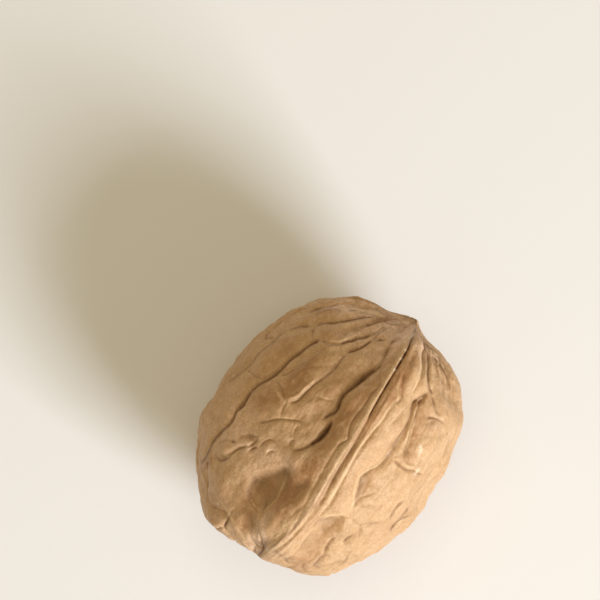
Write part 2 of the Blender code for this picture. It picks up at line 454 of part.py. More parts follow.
def keel(points):
    """Height of the raised band along the upper suture."""
    x, y = points[:, 0], points[:, 1]
    crest = along_nut(x, CREST)
    full_foot, flat_foot = along_nut(x, KEEL_FULL_SIDE), along_nut(x, KEEL_FLAT_SIDE)
    up_full = np.clip((y - crest) / (full_foot - crest), 0, 1)
    up_flat = np.clip((crest - y) / (crest - flat_foot), 0, 1)
    height = KEEL_HEIGHT * (1 - np.where(y > crest, 0.75 * up_full**1.2 + 0.25 * up_full**6,
                                         up_flat**1.8))
    return height * (0.2 + 0.8 * smooth_step(21 - np.abs(x), 0, KEEL_FADE))


def lower_keel(points):
    """Height of the raised band along the lower suture."""
    x, y = points[:, 0], points[:, 1]
    crest = LOWER_CREST_OFFSET * (1 - (x / 21) ** 2) + 0.25 * np.sin(x / 3.1)
    half_width = LOWER_KEEL_HALF_WIDTH + 0.6 * np.sin(x / 2.3 + np.sign(y - crest))
    half_width *= 0.35 + 0.65 * smooth_step(20.5 - np.abs(x), 0, 9)
    share = np.clip(np.abs(y - crest) / half_width, 0, 1)
    return LOWER_KEEL_HEIGHT * (1 - share**2.2) * smooth_step(21 - np.abs(x), 0, KEEL_FADE)


def cell_space(points):
    """Lays the shell out so that round cells there are long cells on the nut, thin at the tip."""
    x, y, z = points.T
    around = np.arctan2(y, z)
    ring = np.hypot(y, z)
    tipward = smooth_step(x, 0, 15)
    ring = ring * (1 - tipward) + CELL_RING * tipward
    laid = np.column_stack([x * CELL_STRETCH, ring * np.sin(around), ring * np.cos(around)])
    warp = [ripple(points, 6, NET_SEED + k) * 0.5 + ripple(points, 2.6, NET_SEED + 9 + k) * 0.15
            for k in range(3)]
    return laid + np.column_stack(warp)


def cell_seeds():
    """Evenly spread seeded points of the laid-out shell, at least one spacing apart."""
    rng = np.random.default_rng(NET_SEED)
    directions = rng.normal(size=(4000, 3))
    directions /= np.linalg.norm(directions, axis=1)[:, None]
    tries = cell_space(directions * body_radius(directions)[:, None])
    kept = tries[:1]
    for point in tries[1:]:
        if np.linalg.norm(kept - point, axis=1).min() > CELL_SPACING:
            kept = np.vstack([kept, point])
    return kept


def two_nearest(points, seeds):
    """The numbers of the two seeds nearest to each point, lowest number first."""
    gaps = (seeds**2).sum(1) - 2 * points @ seeds.T
    nearest = np.argpartition(gaps, 1, axis=1)[:, :2]
    return nearest.min(1), nearest.max(1)


def net(points):
    """Depth of the net of furrows between the cells, strongest where a furrow runs lengthwise."""
    seeds = cell_seeds()
    laid = cell_space(points)
    first, second = two_nearest(laid, seeds)
    apart = seeds[second] - seeds[first]
    apart /= np.linalg.norm(apart, axis=1)[:, None]
    middle = (seeds[first] + seeds[second]) / 2
    gap = np.abs(((laid - middle) * apart).sum(1))
    chance = np.abs(np.sin(first * 12.9898 + second * 78.233) * 43758.5453) % 1
    strength = (0.25 + 0.75 * chance) * (1 - 0.6 * np.abs(apart[:, 0]))
    return strength * sum(share * np.exp(-((gap / width) ** power))
                          for share, width, power in NET_SHAPE)


def tip_wrinkles(points):
    """Fine lengthwise wrinkles that gather at the tip."""
    x, y, z = points.T
    around = np.arctan2(y, z)
    spun = np.column_stack([0.07 * x, 7 * np.sin(around), 7 * np.cos(around)])
    return np.abs(ripple(spun, 1.7, NET_SEED + 40)) * smooth_step(x, 9, 17)


def relief(points):
    """Height of the shell's surface above the smooth body."""
    top = points[:, 2] > 0
    traced = smooth_step(points[:, 2], *NET_TOP_EDGE[::-1])
    height = LUMP_HEIGHT * ripple(points, 8, NET_SEED + 30) * (1 - 0.5 * traced)
    height -= NET_DEPTH * net(points) * (1 - 0.88 * traced)
    height -= TIP_WRINKLE_DEPTH * tip_wrinkles(points)
    fade = smooth_step(np.abs(points[:, 2]), 0.5, 5)
    height += fade * np.where(top, keel(points), lower_keel(points))
    height -= fade * np.where(top, basins(points, UPPER_BASINS) + hollows(points, UPPER_HOLLOWS),
                              basins(points, LOWER_BASINS) + hollows(points, LOWER_HOLLOWS))
    height -= lines(points, UPPER_FURROWS, FURROW_SHAPE, True)
    height -= lines(points, UPPER_CREASES, CREASE_SHAPE, True)
    height -= lines(points, UPPER_CRACKS, CRACK_SHAPE, True)
    height += lines(points, UPPER_VEINS, VEIN_SHAPE, True)
    height -= lines(points, LOWER_FURROWS, FURROW_SHAPE, False)
    return height


def read_vectors(mesh, name):
    """A vector of each vertex, such as its place or its normal, as rows."""
    values = np.empty(len(mesh.vertices) * 3)
    mesh.vertices.foreach_get(name, values)
    return values.reshape(-1, 3)


def place_vertices(mesh, points):
    mesh.vertices.foreach_set("co", points.ravel())
    mesh.update()


def raised_shell():
    """A sphere moved to the body and raised by the relief, in millimetres."""
    sphere = bmesh.new()
    bmesh.ops.create_icosphere(sphere, subdivisions=SPHERE_LEVELS, radius=1)
    mesh = bpy.data.meshes.new("raised_shell")
    sphere.to_mesh(mesh)
    sphere.free()
    directions = read_vectors(mesh, "co")
    directions /= np.linalg.norm(directions, axis=1)[:, None]
    body = directions * body_radius(directions)[:, None]
    place_vertices(mesh, body)
    place_vertices(mesh, body + read_vectors(mesh, "normal") * relief(body)[:, None])
    return mesh


def thinned(mesh):
    """The same surface with fewer triangles, from a Decimate modifier."""
    full = bpy.data.objects.new("full", mesh)
    bpy.context.scene.collection.objects.link(full)
    decimate = full.modifiers.new("fewer triangles", "DECIMATE")
    decimate.ratio = TRIANGLES / len(mesh.polygons)
    result = bpy.data.meshes.new_from_object(full.evaluated_get(bpy.context.evaluated_depsgraph_get()))
    bpy.data.objects.remove(full)
    return result


def cut_rest_spot(mesh):
    """Cuts the lowest bump off level, so that the nut rests on a small flat spot."""
    shell = bmesh.new()
    shell.from_mesh(mesh)
    level = min(vertex.co.z for vertex in shell.verts) + REST_FLAT_DEPTH
    cut = bmesh.ops.bisect_plane(shell, geom=shell.verts[:] + shell.edges[:] + shell.faces[:],
                                 plane_co=(0, 0, level), plane_no=(0, 0, 1), dist=SNAP,
                                 clear_inner=True)
    rim = [item for item in cut["geom_cut"] if isinstance(item, bmesh.types.BMVert)]
    for vertex in rim:
        vertex.co.z = level
    bmesh.ops.holes_fill(shell, edges=[edge for edge in shell.edges if edge.is_boundary])
    bmesh.ops.triangulate(shell, faces=[face for face in shell.faces if len(face.verts) > 3])
    shell.to_mesh(mesh)
    shell.free()


def set_down(mesh):
    """Puts the rest spot at height 0 and the middle of the nut's outline over the origin."""
    points = read_vectors(mesh, "co")
    points[:, :2] -= (points[:, :2].max(0) + points[:, :2].min(0)) / 2
    points[:, 2] -= points[:, 2].min()
    place_vertices(mesh, points * MM)


def shell_material():
    material = bpy.data.materials.new("walnut_shell")
    material.use_nodes = True
    shader = material.node_tree.nodes["Principled BSDF"]
    shader.inputs["Base Color"].default_value = SHELL_COLOUR
    shader.inputs["Roughness"].default_value = SHELL_ROUGHNESS
    shader.inputs["Metallic"].default_value = 0
    return material


def main():
    for thing in list(bpy.data.objects):
        bpy.data.objects.remove(thing)
    nut = bpy.data.collections.new("walnut")
    bpy.context.scene.collection.children.link(nut)
    mesh = thinned(raised_shell())
    cut_rest_spot(mesh)
    set_down(mesh)
    mesh.shade_smooth()
    mesh.materials.append(shell_material())
    nut.objects.link(bpy.data.objects.new("walnut", mesh))


main()
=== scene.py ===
"""Looks of a whole walnut in its shell: its fine relief, its material, the floor, light and camera.

The shell is in millimetres until MM turns them into metres, and all else is in metres. Places on the
shell are in plan: x runs along the nut to its tip, and y across it to the fuller cheek.
"""

import math

import bmesh
import bpy
import numpy as np
from mathutils import Matrix, Vector


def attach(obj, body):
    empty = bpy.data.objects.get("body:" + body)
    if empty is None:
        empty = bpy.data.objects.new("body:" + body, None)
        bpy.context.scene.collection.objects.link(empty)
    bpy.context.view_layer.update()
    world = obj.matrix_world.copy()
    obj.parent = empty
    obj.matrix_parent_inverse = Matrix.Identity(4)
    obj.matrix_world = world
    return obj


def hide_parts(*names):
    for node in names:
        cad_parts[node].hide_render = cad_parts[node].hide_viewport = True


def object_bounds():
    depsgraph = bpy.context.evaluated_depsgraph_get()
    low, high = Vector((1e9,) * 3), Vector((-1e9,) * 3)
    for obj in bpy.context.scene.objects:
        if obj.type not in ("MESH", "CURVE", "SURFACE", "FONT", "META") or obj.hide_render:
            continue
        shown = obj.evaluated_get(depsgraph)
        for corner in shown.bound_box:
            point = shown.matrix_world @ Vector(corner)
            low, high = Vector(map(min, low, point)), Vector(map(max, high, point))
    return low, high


MM = 0.001

# The fuller cheek's outline, the flatter cheek's, and the outline in the plane of the sutures,
# from the tip round to the base, each as (x, distance from the nut's long axis).
FULL_CHEEK = [(20.1, 0), (19.9, 4.2), (19.9, 6.6), (18.7, 9.3), (15.9, 13.4), (11.6, 16.4), (5.2, 18.6),
              (-2.4, 19.2), (-8.8, 18.2), (-13.5, 15.8), (-18, 12.4), (-20.8, 9.6), (-21.2, 6.4),
              (-21.2, 0)]
FLAT_CHEEK = [(20.1, 0), (18.9, 4.8), (18.8, 7.2), (17.3, 9.6), (13.2, 13.6), (8.7, 15.6), (1, 15.8),
              (-5.1, 15.9), (-10.4, 13.9), (-15.2, 11.7), (-18.6, 8.4), (-19.8, 5), (-21.2, 0)]
SUTURE_PLANE = [(20.1, 0), (19.4, 4.6), (17.3, 8.8), (13.4, 12.5), (8.2, 15.2), (2, 16.5), (-4, 16.5),
                (-9.9, 15.1), (-14.8, 12.4), (-18.6, 8.7), (-20.7, 4.5), (-21.2, 0)]
HALF_LENGTH = 21
BEAK_HEIGHT = 1.45
BEAK_RADIUS = 1.7
BEAK_POWER = 1.3
BEAK_SPREAD_IN_SUTURE_PLANE = 1.7
BASE_SCAR_DEPTH = 0.8
BASE_SCAR_RADIUS = 2.2

# The upper suture's crest line, and the two feet of the keel on either side of it.
CREST = [(21.2, -0.1), (18, -0.75), (13, -1.3), (7, -1.7), (0, -2.05), (-9, -2.4), (-12, -2.2),
         (-16, -1.5), (-21.2, -0.2)]
KEEL_FULL_SIDE = [(21.2, 0.6), (16, 1.3), (13.2, 0.9), (12, 0.9), (11, 1.3), (9.3, 1.95), (7.2, 2.65),
                  (5.7, 2.85), (4.2, 2.55), (2.5, 2.5), (0.5, 2), (-0.8, 2.1), (-2.4, 2.6), (-4, 3.5),
                  (-5.2, 4.4), (-7, 3.8), (-9, 3), (-12.3, 2.5), (-15.2, 3.1), (-16.6, 2.6), (-18.5, 0.9),
                  (-21.2, 0.4)]
KEEL_FLAT_SIDE = [(21.2, -0.7), (19.5, -2.6), (17.3, -4.4), (15.6, -5.6), (13.8, -6.8), (12.3, -6.8),
                  (11, -6.2), (8.5, -6.7), (6.6, -7.2), (3.4, -7.4), (0.6, -7.2), (-1, -6.4),
                  (-2.5, -5.9), (-4, -6.5), (-6, -7), (-8.6, -7.3), (-9.8, -6), (-10.6, -4.9),
                  (-14, -4.5), (-18, -3.8), (-21.2, -1.4)]
KEEL_HEIGHT = 2.0
# How the keel falls toward its feet. On the fuller side it is a sum of (share, power).
KEEL_FULL_SLOPE = ((0.75, 1.2), (0.25, 6))
KEEL_FLAT_POWER = 1.8
KEEL_FADE = 5.0
KEEL_END_SHARE = 0.2

# The lower keel bows to one side and narrows at its ends. A wave is (size, length of a radian).
LOWER_CREST_OFFSET = 1.8
LOWER_CREST_WAVE = (0.25, 3.1)
LOWER_KEEL_HEIGHT = 0.85
LOWER_KEEL_POWER = 2.2
LOWER_KEEL_HALF_WIDTH = 4.3
LOWER_KEEL_EDGE_WAVE = (0.6, 2.3)
LOWER_KEEL_HALF_LENGTH = 20.5
LOWER_KEEL_TAPER = 9
LOWER_KEEL_END_WIDTH = 0.35

# Steep-walled hollows of the upper side, as (depth, width of the wall, outline).
UPPER_BASINS = [
    (1.45, 1.5, [(-15.6, 3.1), (-15.3, 4.6), (-14.9, 5.7), (-14.1, 6.7), (-12.6, 7.3), (-11.2, 7.2),
                 (-10, 6.4), (-8.9, 5.3), (-7.8, 4.2), (-8.3, 3), (-9.6, 2.4), (-11.6, 2.2),
                 (-13.6, 2.5)]),
    (0.45, 0.6, [(-2, 2.2), (-1.2, 2.75), (0, 2.75), (0.9, 2.3), (0.4, 1.75), (-0.6, 1.6), (-1.5, 1.8)]),
    (0.7, 1.5, [(-12.8, 1.9), (-11.2, 1.1), (-9.9, 0.1), (-8, -0.3), (-7, 0.6), (-8.2, 1.7), (-9.6, 2.5),
                (-11.4, 2.4)]),
    (0.55, 0.9, [(-12.7, -4.9), (-10.6, -4.7), (-9.7, -5.6), (-9, -6.9), (-10.1, -7.4), (-12, -7.1),
                 (-13.2, -6.2)]),
    (0.3, 0.35, [(-4.9, 5.5), (-4.2, 6), (-3.5, 5.7), (-3.5, 5.1), (-4.3, 5)]),
    (0.3, 0.4, [(-8.2, 12.1), (-7.2, 11.9), (-6.4, 11.1), (-6.2, 10.2), (-6.9, 10.3), (-7.6, 11.2)]),
    (0.3, 0.6, [(13.3, -7.2), (12.4, -6.9), (11.2, -6.4), (10.8, -6.9), (12, -7.5)]),
]

# Soft hollows and swellings of the upper side: (x, y, half length, half width, turn in degrees,
# depth). A swelling has a depth below 0. The power says how flat their middle is.
HOLLOW_POWER = 1.4
UPPER_HOLLOWS = [
    (-17.2, 4.1, 1.9, 1.1, 0, 0.5),
    (-16, 6, 1.6, 1.1, 10, 0.4),
    (-14.6, 1.5, 3.2, 1, 6, -0.5),
    (-11.6, 12.6, 0.45, 0.5, 0, 0.25),
    (-6.95, 10.75, 0.5, 0.75, 30, 0.3),
    (-12, 4.8, 4.4, 3.2, -12, 0.6),
    (-9.8, 1.6, 3.2, 1.5, -28, 0.3),
    (-13.5, -6.2, 4.4, 1.9, 3, 0.45),
    (-3, -6.9, 2.4, 0.9, 12, 0.45),
    (9, -9, 3.4, 1.2, 12, 0.35),
    (6.4, -7.6, 3.2, 0.4, 8, 0.3),
    (1.2, -7.7, 1.6, 0.7, 0, 0.25),
    (-11.2, -9.5, 1.6, 0.6, -8, 0.25),
    (-8.2, 9.2, 1.8, 1.2, -35, 0.3),
    (-5.4, 7.3, 1.6, 0.9, -35, 0.25),
    (-2.6, 6.6, 0.9, 1.2, 0, 0.2),
    (1.6, 5.2, 1.6, 1, 20, 0.2),
    (-18.6, 9, 1.8, 1.6, 0, 0.25),
    (-14.8, 8.6, 2, 1, 20, 0.2),
    (6.2, 10.1, 4.8, 0.95, -14, -0.35),
    (6, 8.5, 4.6, 1.2, -14, -0.4),
    (-1.4, 12.2, 2.6, 2, -15, -0.45),
    (-1, 9.9, 1.6, 0.9, 0, -0.2),
    (6.6, 14, 4.2, 1.3, -14, -0.35),
    (-1.4, 16, 2, 1.2, 0, -0.35),
    (-6.6, 16.4, 2, 1.2, 0, -0.3),
    (7.6, 4.6, 4.2, 1.3, -16, -0.3),
    (2.2, 6.2, 1.5, 1.4, 0, -0.2),
    (11.8, 11, 1.3, 0.8, -8, -0.3),
    (12.6, 9, 1.3, 1.1, -20, -0.3),
    (12.6, 7, 1.6, 0.8, -25, -0.2),
    (13.9, 12, 2.2, 0.8, -38, -0.25),
    (16.2, 9, 2, 0.6, -55, -0.25),
    (-10.4, 13, 1.1, 1, -20, -0.4),
    (9, 2, 2.2, 0.6, -18, 0.4),
    (-8.6, 12.4, 0.8, 0.8, 0, -0.15),
    (-6.6, 8.4, 1, 0.8, -20, -0.15),
    (-6, 3.8, 1.5, 1.2, 20, -0.55),
    (-14.6, 10.6, 2.6, 2.4, -30, -0.35),
    (-17.2, 1.9, 1.6, 0.5, 24, -0.2),
    (6.6, 1.6, 2.6, 0.9, -4, -0.3),
    (-1.5, -4.6, 5.5, 1.6, 2, -0.25),
    (12.6, -4.4, 3.6, 1.5, 16, -0.35),
    (-6.8, -5.4, 2.6, 1.3, -6, -0.25),
    (8.8, -7.35, 3.2, 0.25, 15, -0.25),
    (4.4, -10.3, 1.9, 0.8, -8, -0.3),
    (6.6, -12, 3.2, 1.2, 8, -0.25),
    (-2.8, -10.2, 2, 1.6, 0, -0.3),
    (-9.6, -12.2, 2.6, 1.6, -10, -0.3),
    (-16.2, -8.8, 1.4, 1, 0, -0.2),
    (12.2, -10.6, 1.8, 1.5, 30, -0.3),
]

# Where the upper side is browner and where it is paler, like the hollows but with a strength. The brown
# patches are partly real and partly painted shade in hollows and on slopes turned from the light; the
# pale ones are partly real and partly painted light and highlights on lit slopes, ridges and the tip.
STAINS_AND_PAINTED_SHADE = [
    (3, 0.9, 6.5, 1.3, -2, 0.9),
    (-6.2, 0.9, 3.4, 1.3, 0, 0.9),
    (-1, -2.6, 11, 0.5, 1, 0.75),
    (5.4, 4.4, 4.2, 1.2, -12, 0.35),
    (12.6, -2.8, 4, 1.3, 12, 0.8),
    (-12, 4.8, 3.4, 2.3, -12, 1),
    (-10, 1.6, 3, 1.2, -24, 0.7),
    (-16, 6.1, 1.4, 1, 10, 0.6),
    (-17.4, 4.1, 1.8, 1.1, 0, 0.8),
    (-13.8, 13.9, 2, 0.6, -8, 0.5),
    (-0.8, 11.8, 2.4, 2.2, 0, 0.8),
    (4.6, 9.6, 4.2, 1.4, -14, 0.9),
    (-17.6, 9, 2, 2.2, 0, 0.35),
    (-16.4, -6, 3.2, 1.8, 0, 0.6),
    (-11.4, -5.8, 1.8, 1.2, 0, 0.5),
    (9.6, -8.6, 3.4, 1.2, 12, 0.5),
    (-2.8, -6.9, 2.4, 0.7, 0, 0.45),
    (6, 14.4, 4, 1, -14, 0.3),
    (-7, -13, 3, 1.2, -12, 0.25),
    (-13.4, 0.4, 4, 0.9, 0, 0.5),
    (-8, 1.7, 1.5, 1.3, 0, 2.5),
    (-13.2, 1.2, 2.2, 1, 0, 0.6),
    (-18.8, -5, 1.6, 3, 0, 0.4),
    (7.4, -8.5, 2.8, 0.7, 15, 2),
    (9, -3, 8, 1, 2, 0.5),
    (4.2, -10.2, 1.8, 0.9, -6, 0.35),
    (-19, 4.5, 1.2, 0.8, 0, 0.5),
    (11.8, -7, 1.6, 0.6, -20, 0.7),
    (3.4, -7.1, 2.2, 0.5, 6, 0.5),
    (-20.3, 0.05, 1.3, 0.25, 0, 2),
]
PALE_PATCHES_AND_PAINTED_LIGHT = [
    (-4.3, 2.7, 1, 0.8, 0, 0.7),
    (-6.9, 3.8, 1.3, 1.2, 20, 0.7),
    (-3.8, 4.9, 0.4, 0.4, 0, 0.7),
    (-6.3, 4.8, 1.1, 0.9, 0, 0.5),
    (-7.4, 7, 2.4, 1.3, -35, 0.4),
    (-7.6, 10.8, 2, 1.6, -35, 0.35),
    (15.1, 2.4, 0.9, 0.5, 0, 0.8),
    (17.4, 0.8, 2.8, 0.9, 0, 0.5),
    (19.3, 5.6, 0.9, 3.4, 0, 0.5),
    (16.6, 10.6, 2.6, 0.7, -45, 0.4),
    (-17.4, 1.6, 2.4, 0.5, 30, 0.6),
    (2.4, -7.4, 0.5, 0.4, 0, 0.9),
    (-5.5, 15.2, 1.6, 0.6, 0, 0.5),
    (5.6, -10.9, 0.8, 0.4, 10, 0.8),
    (2.5, -12.3, 0.5, 0.3, 0, 1),
    (-1, -4.1, 2, 0.25, 0, 0.5),
    (18.8, -6.2, 0.7, 2.6, 15, 0.5),
    (-2, -9, 2.2, 0.9, 60, 0.3),
    (18.4, 3.4, 1.8, 4, 0, 1),
    (19.6, 0.4, 1.2, 1.2, 0, 0.6),
    (13, 1.2, 4.6, 0.9, -6, 1),
    (-17, 2.3, 2.8, 0.7, 26, 0.6),
    (-8, 10, 5, 5, 0, 0.5),
    (-5.2, 6.2, 2.4, 1.4, -20, 0.35),
    (0.7, -1.45, 10, 0.35, 3, 0.8),
    (-15.5, -1.7, 4, 0.5, -6, 0.5),
    (-5, 14.9, 1.6, 0.9, 0, 0.5),
    (8.4, 6.4, 2.4, 0.6, -8, 0.6),
    (1.6, 6.6, 1.4, 1, 0, 0.4),
    (-19.4, 1.4, 1.6, 1.4, 0, 1),
    (15.3, 5.6, 3.4, 3.6, 0, 0.7),
    (10, -10.6, 1.4, 1, 0, 0.5),
    (-11, -2.1, 4.2, 0.35, 0, 0.8),
    (18.6, -4.6, 1.2, 2.8, 20, 0.9),
    (17, 9.5, 2.2, 1.4, -45, 0.8),
    (-6.5, 12.8, 2.8, 1.2, -8, 0.5),
]

# Pale edges, painted highlights along ridges, and short pale specks drawn on the upper side, as
# (strength, route).
PAINTED_HIGHLIGHT_EDGES = [
    (0.7, [(14.6, 12.9), (15.7, 12), (16.8, 11.1), (17.8, 10.1), (18.4, 9.2)]),
    (0.6, [(17.2, 10.2), (17.7, 9.4), (18.2, 8.6), (18.6, 7.6), (18.9, 6.6), (19.1, 5.4)]),
    (0.6, [(16.4, 9.9), (17.1, 9), (17.7, 7.8), (18.1, 6.8), (18.5, 5.4), (18.7, 4.2)]),
    (0.5, [(11.9, 8.3), (12.3, 7.7), (13.2, 7.2), (14.4, 7.1)]),
    (0.7, [(10.4, -1.1), (13, -0.95), (16, -0.65), (19, -0.35)]),
    (0.6, [(-9, -2.05), (-4, -1.75), (0.8, -1.55), (4.5, -1.35), (8, -1.15), (10.4, -1.05)]),
    (0.7, [(-9, -4.05), (-5, -3.8), (-3, -3.65), (0, -3.35), (3.2, -3.45), (5.8, -3.75), (7.8, -3.7),
           (9.4, -4.2), (11, -3.25), (12.3, -2.6)]),
    (0.5, [(11.2, -5.2), (13.2, -5.05), (14.6, -4.65), (16.1, -4), (17.1, -3.2)]),
    (0.6, [(13.4, -8.1), (14.2, -7.1), (15, -6.4), (15.9, -5.8), (16.9, -5.2), (17.6, -4.7)]),
    (0.7, [(18.5, -3.6), (18.5, -4.6), (18.5, -5.6), (18.3, -6.6), (17.9, -7.6), (17.2, -8.6)]),
    (0.7, [(19.2, -3.4), (19.25, -4.6), (19.2, -5.8), (18.9, -7), (18.4, -8.2)]),
    (0.8, [(19.6, -1.9), (20.3, -1.3), (21, -0.5)]),
    (0.6, [(-18.4, 0.95), (-17.3, 1.9), (-16, 2.7), (-15.1, 3)]),
    (0.7, [(-20.4, -0.25), (-18.6, -0.5), (-16.6, -1), (-14.6, -1.5), (-12, -1.7), (-9, -1.8)]),
    (0.6, [(-18, 0.5), (-16.8, 0), (-15.4, -0.5), (-13.6, -0.75)]),
    (0.6, [(-19.6, -0.9), (-17.8, -1.6), (-16, -2.3), (-13.4, -2.65), (-10, -2.75)]),
    (0.6, [(-15.2, 3.15), (-14, 2.95), (-12.2, 2.6), (-10.6, 2.85), (-8.7, 3.2)]),
    (0.5, [(-20.2, 2.2), (-19.5, 4), (-18.5, 6.1), (-17.5, 8.2), (-17.1, 10)]),
    (0.5, [(-15.1, 3.4), (-14.8, 4.8), (-14.2, 6.1)]),
    (0.6, [(4.2, -9.3), (5.8, -8.85), (7.4, -8.25), (9.1, -7.85)]),
    (0.7, [(4.4, -8.75), (5.8, -8.4), (7.2, -7.8), (9, -7.3), (10.8, -6.75)]),
    (0.7, [(-7.8, -7.3), (-6.7, -7.2), (-5, -6.3), (-2.7, -5.65), (-1.2, -6.2), (0.2, -7), (1.9, -7.25)]),
    (0.6, [(-11, -4.6), (-10.2, -5), (-9, -6.4), (-8, -7.3)]),
    (0.5, [(3.85, 6.1), (4, 5), (4.5, 3.6)]),
    (0.5, [(1.1, 12.5), (0.9, 11.4), (0.3, 9.9), (-0.2, 9.2)]),
    (0.5, [(-3.1, 10.2), (-2.3, 9.2), (-1.7, 8.3), (-1.1, 7)]),
    (0.6, [(-11.4, 11.6), (-10.2, 11.35), (-9, 10.8), (-8.2, 10.1)]),
    (0.35, [(2.35, -9.6), (2.4, -10.8), (2.8, -11.5), (5, -11.5)]),
    (0.5, [(4.2, -11.3), (5.2, -11.2), (6, -10.7), (6.3, -10.1)]),
    (0.5, [(-4.8, -13.15), (-3.6, -13.15), (-2.5, -13.3)]),
    (0.5, [(-6.4, -14.35), (-5, -14.4), (-4, -14.95)]),
]
PALE_SPECKS = [
    (1, [(13.2, -1), (13.22, -1.2), (13.25, -1.45)]),
    (1, [(15, -0.9), (15.04, -1.1), (15.05, -1.3)]),
    (0.8, [(16.45, -0.7), (16.5, -0.9), (16.5, -1.1)]),
    (0.9, [(18.3, -0.45), (18.7, -0.6), (19.2, -0.7)]),
    (0.9, [(-17.8, 9.5), (-17.7, 9.4), (-17.6, 9.3)]),
    (0.9, [(2.1, -12.3), (2.4, -12.35), (3.1, -12.4)]),
    (0.8, [(5, -11.2), (5.6, -11), (6.1, -10.6)]),
    (0.8, [(17.55, -6.2), (17.6, -6.1), (17.65, -6)]),
]

# The steep-walled and the soft hollows of the underside.
LOWER_BASINS = [
    (1.1, 1.4, [(-14.6, 8.6), (-13.6, 10.2), (-11.4, 10.4), (-9, 9.4), (-8, 7.6), (-9.6, 6.2), (-12.4, 6),
                (-14.2, 7)]),
    (1.2, 1.4, [(-15.4, -4.4), (-13.6, -3.2), (-11, -3.4), (-9.4, -4.8), (-10.2, -6.8), (-12.6, -7.6),
                (-14.8, -6.4)]),
    (0.6, 0.6, [(-5.8, -5.2), (-4.4, -4.6), (-3, -5.4), (-3.8, -6.4), (-5.4, -6.2)]),
]
LOWER_HOLLOWS = [
    (-11.4, 8, 4, 2.6, 10, 0.5),
    (-12.6, -5.2, 3.6, 2.4, -14, 0.5),
    (6.4, 8.2, 3.2, 0.9, -16, 0.4),
    (9.4, -5.6, 3.4, 0.8, 14, 0.4),
    (-16.8, 1.8, 1.2, 1, 0, 0.35),
    (3.5, -11.2, 3.6, 2, 8, -0.3),
    (-5.5, 13, 3.6, 2, -8, -0.3),
]

# Lines on the shell, as (depth, route). Furrows part the large cells, creases are finer, cracks open
# the suture at its ends, and veins are thin raised ridges. The underside has furrows alone.
UPPER_FURROWS = [
    (0.8, [(-14.3, 14.9), (-13.4, 14.65), (-12, 14.7), (-10.8, 14.95), (-9, 14.85), (-6.2, 14.4),
           (-4.8, 14.7), (-3.5, 14.4), (-2, 14.4), (0, 14.1), (2, 13.2), (3.5, 12.75), (6, 12.25),
           (8, 11.55), (9.8, 10.85), (10.9, 10.1)]),
    (1.1, [(-14.8, 14.9), (-13.9, 14.6), (-13, 14.6), (-12, 14.75), (-11, 14.95)]),
    (1, [(-5.2, 14.7), (-4.2, 14.6), (-3.2, 14.4), (-2, 14.4), (-0.6, 14.25)]),
    (0.6, [(12, 0.9), (11, 1.35), (10.3, 1.65), (9, 1.95), (8, 2.15), (7.2, 2.4), (6.3, 2.75),
           (5.4, 2.85), (4.5, 2.7), (3.7, 2.45), (3, 2.55), (2.3, 3), (1.7, 3.3), (0.9, 3.5)]),
    (0.25, [(15.5, 0.1), (14.5, 0.05), (13.6, 0.2), (12.8, 0.5), (12, 0.9), (11, 1.35)]),
    (0.75, [(2, 2.2), (0.9, 2), (-0.1, 2), (-1.2, 2.2), (-2.4, 2.65), (-3.2, 3)]),
    (0.3, [(-1.2, 2.2), (-2.7, 2.8), (-4, 3.4), (-4.5, 3.9), (-5, 4.45), (-5.5, 4.6)]),
    (0.45, [(9.3, 15), (10, 14.4), (10.7, 13.8), (11.2, 13.1), (11.7, 12.4)]),
    (0.5, [(11.8, 12.2), (12.2, 11.8), (13, 11.2), (13.5, 10.5), (13.75, 10.15), (14.25, 9.6),
           (15, 8.8)]),
    (0.75, [(14.1, 9.75), (14.25, 9.6), (15, 8.8), (15.7, 8.1), (16.5, 7.3), (17.2, 6.6), (17.7, 5.9),
            (18.1, 5.2)]),
    (0.4, [(17.7, 5.9), (18.1, 5.2), (18.25, 4.2), (18.4, 3), (18.8, 2.25), (19.25, 1.7), (19.9, 1.1)]),
    (0.25, [(-21.1, 0.1), (-20, 0.05), (-19.3, 0.05), (-18.6, 0.2), (-18.1, 0.8)]),
    (0.4, [(13.2, -7.1), (12.6, -7), (11.9, -6.6), (10.8, -6.2), (8.8, -6.8), (6.9, -7.05), (4.7, -7.2),
           (3.8, -7.3), (3.1, -8.2)]),
    (0.3, [(5, -7.2), (3.5, -7.5), (1, -7.4), (0.3, -7.2), (-1, -6.4), (-1.8, -6.3), (-2.5, -5.9),
           (-3, -6.2), (-4, -6.6), (-6, -7)]),
    (0.45, [(12.4, -7.1), (11, -6.9), (9.1, -7.6), (7.4, -8), (5.8, -8.6), (4.4, -9), (3, -9.35)]),
    (0.7, [(18.1, -4.4), (17.8, -5.3), (17.6, -6.2), (17.2, -7.2), (16.6, -8.2), (16, -9), (15.3, -9.8)]),
]
